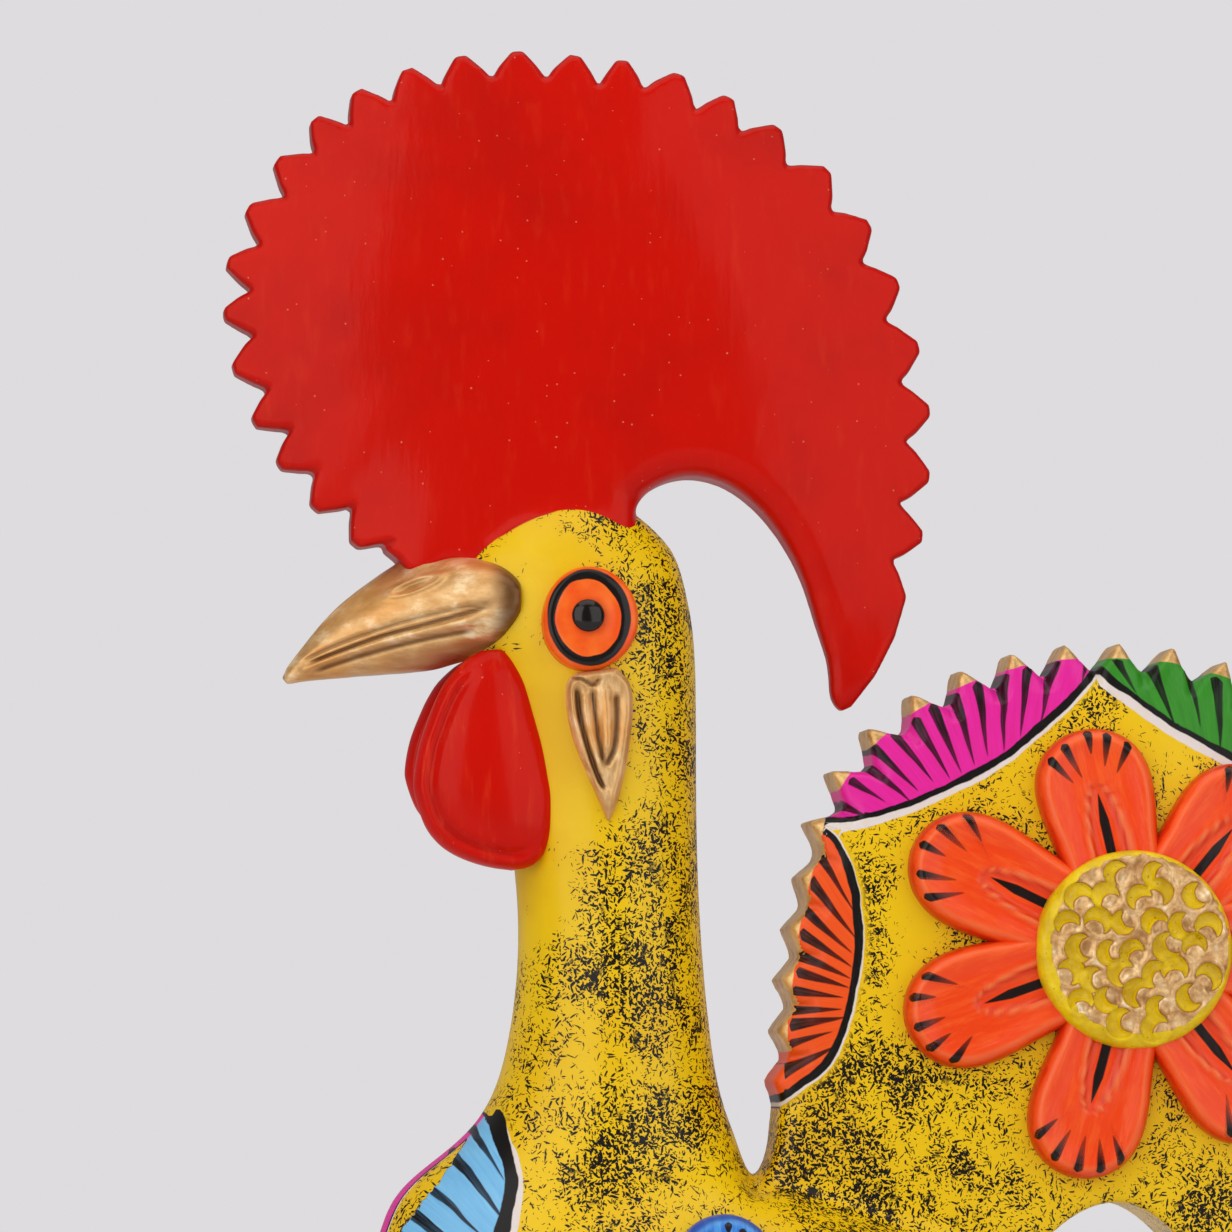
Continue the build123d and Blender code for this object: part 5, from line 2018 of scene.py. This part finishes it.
@dataclass(frozen=True)
class PlinthPaint:
    """Black enamel with a gilt edge and a ring of bright brush dabs."""

    dabs: int = 28

    def material(self) -> bpy.types.Material:
        """The finished material."""
        recipe = Recipe("plinth_paint")
        x, y, z = recipe.split(recipe.place())
        angle = recipe.sum("ARCTAN2", y, x)
        radius = recipe.sum("DIVIDE", recipe.length(x, y), MM)
        height = recipe.sum("DIVIDE", z, MM)
        cloud = recipe.grain(40.0, 4.0, 0.6)
        hairs = recipe.grain(200.0, 4.0, 0.6, place=recipe.stretched(1.0, 1.0, 4.0))
        colour = recipe.over(recipe.ramp(cloud, 0.3, 0.7), BLACK, tint(34, 26, 30))
        wander = recipe.sway(recipe.grain(70.0, 2.0), 0.3)
        lane = recipe.plus(recipe.times(angle, self.dabs / (2 * math.pi)), wander)
        which = recipe.sum("FLOOR", lane)
        aside = recipe.absolute(recipe.minus(recipe.sum("FRACT", lane), 0.5))
        aside = recipe.times(aside, 2 * math.pi * 67.0 / self.dabs)
        # Drops on the top ring, round outside and pointed inwards
        run = recipe.sum("DIVIDE", recipe.minus(70.5, radius), 8.0)
        rest = recipe.minus(1.0, run, clamp=True)
        head = recipe.power(recipe.ramp(run, 0.0, 0.22), 0.5)
        half = recipe.times(recipe.times(recipe.power(rest, 0.8), head), 3.0)
        on_top = recipe.sum("GREATER_THAN", height, 17.0)
        drop = recipe.times(recipe.under(aside, half, 0.3), recipe.ramp(half, 0.05, 0.3))
        drop = recipe.times(drop, on_top)
        pick = recipe.sum("DIVIDE", recipe.sum("FLOORED_MODULO", which, 4.0), 4.0)
        bright = recipe.over(recipe.sum("GREATER_THAN", pick, 0.1), MAGENTA, YELLOW)
        bright = recipe.over(recipe.sum("GREATER_THAN", pick, 0.35), bright, SKY)
        bright = recipe.over(recipe.sum("GREATER_THAN", pick, 0.6), bright, ORANGE)
        colour = recipe.over(drop, colour, bright)
        # Dots round the side, between two thin lines
        dot_gap = recipe.length(aside, recipe.minus(height, 8.6))
        dot = recipe.times(recipe.under(dot_gap, 2.3, 0.3), recipe.sum("LESS_THAN", height, 15.0))
        dot = recipe.times(dot, recipe.sum("GREATER_THAN", radius, 72.0))
        colour = recipe.over(dot, colour, bright)
        line_gap = recipe.absolute(recipe.minus(height, 2.6))
        line = recipe.under(line_gap, 0.7, 0.3)
        colour = recipe.over(recipe.times(line, recipe.sum("GREATER_THAN", radius, 72.0)), colour, YELLOW)
        rub = recipe.plus(radius, recipe.times(recipe.grain(130.0, 3.0), 2.0))
        gilt = recipe.times(recipe.ramp(rub, 73.6, 74.1), recipe.ramp(height, 14.0, 15.0))
        colour = recipe.over(gilt, colour, GOLD)
        normal = recipe.relief(hairs, 0.14, 0.7, on=recipe.relief(cloud, 0.8, 0.5))
        rough = recipe.ramp(cloud, 0.2, 0.8, 0.28, 0.4)
        return recipe.glaze(colour, rough, normal, recipe.times(gilt, 0.6), 0.35)


@dataclass
class Plinth:
    """The round plinth with its foot ring and drain hole."""

    radius: float = 75.0
    height: float = 20.0
    edge: float = 5.0
    recess_radius: float = 62.0
    recess: float = 2.5
    drain: float = 5.0

    def make(self) -> None:
        """Builds the plinth and dresses it."""
        profile = [(self.drain, self.recess), (self.recess_radius - 1.0, self.recess)]
        profile += [(self.recess_radius, self.recess - 0.6), (self.recess_radius + 0.4, 0.4)]
        profile += [(self.recess_radius + 1.0, 0.0), (self.radius - 1.2, 0.0), (self.radius - 0.3, 0.4)]
        profile += [(self.radius, 1.4)]
        profile += [(self.radius, level) for level in (4.0, 7.0, 10.0, 13.0)]
        for step in range(9):
            turn = math.pi / 2 * step / 8
            profile.append((self.radius - self.edge + self.edge * math.cos(turn),
                            self.height - self.edge + self.edge * math.sin(turn)))
        profile += [(66.0, self.height), (60.0, self.height), (40.0, self.height), (self.drain, self.height)]
        profile.append((self.drain, self.recess))
        piece = as_piece(turned(profile, 180), "plinth")
        dress(piece, PlinthPaint().material(), "dark_plinth", "plinth")


@dataclass
class Foot:
    """A gilded foot in relief on the pedestal, with three toes and their claws, and painted shade for its scales."""

    side: Side
    spread: float = 27.0
    ankle: float = 60.3
    toe: float = 27.0
    shank: float = 32.0
    toe_angles: tuple[float, ...] = (-125.0, -90.0, -55.0)

    def bead(self, shape: bmesh.types.BMesh, pedestal: Pedestal, across: float, z: float, size: float) -> None:
        """Adds one small ball of clay on the bell.

        Args:
            shape: The foot that is built up.
            pedestal: The bell that it lies on.
            across: How far round the bell from its front, in millimetres.
            z: Its height.
            size: Its radius.
        """
        radius = float(pedestal.radius_at(np.array([z]))[0])
        turn = across / radius
        place = Vector((-radius * math.cos(turn), radius * math.sin(turn), z)) * MM
        matrix = Matrix.Translation(place)
        bmesh.ops.create_icosphere(shape, subdivisions=2, radius=size * MM, matrix=matrix)

    def make(self, pedestal: Pedestal) -> None:
        """Builds the foot and dresses it.

        Args:
            pedestal: The bell that it lies on.
        """
        shape = bmesh.new()
        start = self.side.value * self.spread
        for step in range(30):
            share = step / 29
            size = (3.7 + 0.4 * share) * (1 + 0.07 * (step % 4 == 0))
            self.bead(shape, pedestal, start * (1 - 0.1 * share), self.ankle + self.shank * share, size)
        for angle in self.toe_angles:
            turn = math.radians(angle)
            for step in range(28):
                share = step / 27
                out = self.toe * share
                knuckle = 1 + 0.10 * math.sin(share * math.pi * 5) ** 2
                size = (4.2 - 1.4 * share) * knuckle if share < 0.8 else 4.2 * (1.02 - share) + 0.9
                self.bead(shape, pedestal, start + out * math.cos(turn), self.ankle + out * math.sin(turn), size)
        node = f"foot_{self.side.name.lower()}"
        piece = remeshed(as_piece(shape, node), 0.7)
        soften(piece.data, np.ones(len(piece.data.vertices), bool), 3, 0.5)
        places = places_of(piece.data)
        rows = np.zeros((len(places), 4))
        # Painted shade in rings across the foot, standing for the grooves between scales
        scute = np.sin(places[:, 2] * 2.1) ** 8
        rows[:, 0] = 0.55 * scute * smooth_step(0.2, 0.8, 0.5 + 0.5 * uneven(*(places.T * 0.2)))
        store(piece.data, "edges", rows)
        dress(piece, BrushedGold("foot_gold", (1.0, 1.0, 1.0)).material(), "gold_foot", node)


# ---- camera, light and floor ----------------------------------------------------------------


@dataclass
class Studio:
    """A plain pale room with soft lamps, and the camera at the photograph's angle."""

    aim: tuple[float, float, float] = (-0.031, 0.0, 0.421)
    distance: float = 1.7
    turn: float = -6.0
    rise: float = -4.0
    view_width: float = 0.308
    room_light: float = 0.42
    gloss_light: tuple[float, float] = (0.16, 0.42)
    backdrop: tuple[float, float, float, float] = tint(222, 220, 222)

    def camera(self) -> None:
        """Places the camera."""
        lens = bpy.data.cameras.new("camera")
        lens.sensor_width = 36.0
        lens.lens = 36.0 * self.distance / self.view_width
        lens.clip_end = 50.0
        camera = bpy.data.objects.new("camera", lens)
        turn, rise = math.radians(self.turn), math.radians(self.rise)
        aim = Vector(self.aim)
        back = Vector((math.sin(turn) * math.cos(rise), -math.cos(turn) * math.cos(rise), math.sin(rise)))
        camera.location = aim + back * self.distance
        camera.rotation_euler = (aim - camera.location).to_track_quat("-Z", "Y").to_euler()
        bpy.context.scene.collection.objects.link(camera)
        bpy.context.scene.camera = camera

    def lamp(self, name: str, place: tuple, size: tuple, power: float) -> bpy.types.Object:
        """Places one soft lamp that faces the bird.

        Args:
            name: Its name.
            place: Where it stands, in metres.
            size: Its width and height in metres.
            power: Its power in watts.

        Returns:
            The lamp.
        """
        light = bpy.data.lights.new(name, "AREA")
        light.shape = "RECTANGLE"
        light.size, light.size_y = size
        light.energy = power
        lamp = bpy.data.objects.new(name, light)
        lamp.location = place
        lamp.rotation_euler = (Vector((0, 0, 0.33)) - Vector(place)).to_track_quat("-Z", "Y").to_euler()
        bpy.context.scene.collection.objects.link(lamp)
        return lamp

    def floor(self) -> None:
        """Makes the floor."""
        bm = bmesh.new()
        bmesh.ops.create_grid(bm, x_segments=8, y_segments=8, size=4.0)
        floor = as_piece(bm, "floor")
        recipe = Recipe("pale_floor")
        colour = recipe.over(recipe.ramp(recipe.grain(3.0, 3.0), 0.3, 0.7), tint(226, 224, 225), tint(221, 219, 220))
        # Far from the bird the camera sees the floor melt into the background
        x, y, _ = recipe.split(recipe.place())
        eye = recipe.node("LightPath").outputs["Is Camera Ray"]
        far = recipe.times(recipe.ramp(recipe.length(x, y), 0.4, 1.2), eye)
        for name, value in (
            ("Base Color", recipe.over(far, colour, tint(0, 0, 0))), ("Emission Color", self.backdrop),
            ("Emission Strength", far), ("Roughness", 0.9), ("Specular IOR Level", 0.0),
        ):
            recipe.put(recipe.shader.inputs[name], value)
        floor.data.materials.append(recipe.material)

    def surroundings(self) -> None:
        """Makes the pale surroundings that gloss and the camera see."""
        world = bpy.data.worlds.new("room")
        world.use_nodes = True
        bpy.context.scene.world = world
        mixer = Mixer(world.node_tree)
        path = mixer.node("LightPath").outputs
        # The room is bright behind the bird and dark in front of it
        _, ahead, _ = mixer.split(mixer.node("TexCoord").outputs["Generated"])
        gloss = mixer.times(path["Is Glossy Ray"], mixer.ramp(ahead, -0.3, 0.8, *self.gloss_light, kind="LINEAR"))
        strength = mixer.sum("MAXIMUM", path["Is Camera Ray"], path["Is Transmission Ray"])
        for part in (gloss, mixer.times(path["Is Diffuse Ray"], self.room_light)):
            strength = mixer.sum("MAXIMUM", strength, part)
        sky = world.node_tree.nodes["Background"].inputs
        mixer.put(sky["Strength"], strength)
        mixer.put(sky["Color"], self.backdrop)

    def make(self) -> None:
        """Sets up the whole studio."""
        self.camera()
        self.floor()
        self.surroundings()
        self.lamp("left_softbox", (-1.28, -1.5, 1.0), (2.1, 2.3), 23.0)
        self.lamp("right_softbox", (1.35, -1.55, 0.9), (1.9, 2.2), 15.0)
        self.lamp("top_softbox", (0.0, -0.3, 2.2), (2.0, 2.0), 15.0)
        behind = self.lamp("back_softbox", (0.3, 1.8, 0.9), (2.0, 2.0), 11.0)
        behind.visible_camera = behind.visible_glossy = False
        bpy.context.scene.view_settings.view_transform = "Standard"


def main() -> None:
    """Builds the bird piece by piece, and its studio."""
    logging.basicConfig(level=logging.INFO, format="%(name)s %(message)s")
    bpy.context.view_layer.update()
    Studio().make()
    LOG.info("studio ready")
    body = PaintedBody()
    body.make()
    body.paint()
    dress(
        body.piece, SpeckledPaint().material(), "yellow_body", "body_left", "body_right", "tail_left", "tail_right"
    )
    Comb().make(body)
    Beak().make()
    pedestal = Pedestal()
    pedestal.make()
    Plinth().make()
    orange = PetalPaint("orange_petal", tint(242, 66, 10), tint(250, 96, 30), tint(206, 38, 8), tint(255, 132, 72))
    blue = PetalPaint(
        "blue_petal", tint(34, 104, 206), tint(96, 180, 232), tint(20, 58, 162), tint(110, 186, 236),
        border_width=2.4, tick_angle=0.34, tick_start=2.9, tick_length=2.6,
    )
    for side in Side:
        Wattle(side, height=54.8 if side is Side.LEFT else 48.0).make()
        Eye(side).make(body)
        EarLobe(side).make(body)
        Foot(side).make(pedestal)
        Flower(
            "tail", side, TAIL_FLOWER, 56.0, 29.5, 24.5, 6.0, (102.0, 154.0, 199.5, 254.5, 309.0, 1.0, 50.0),
            24.6, 10.5, 8.2, orange, "orange_petal", 36, 11, (1.0, 1.07, 1.06, 1.04, 1.03, 1.0, 1.0),
        ).make(body)
        step = 360.0 / 7
        Flower(
            "flank", side, (-8.4, 226.0), 46.0, 25.5, 18.0, 4.5, tuple(90.0 + step * i for i in range(7)),
            17.0, 8.5, 6.4, blue, "blue_petal", 17, 23,
        ).make(body)


if __name__ == "__main__":
    main()
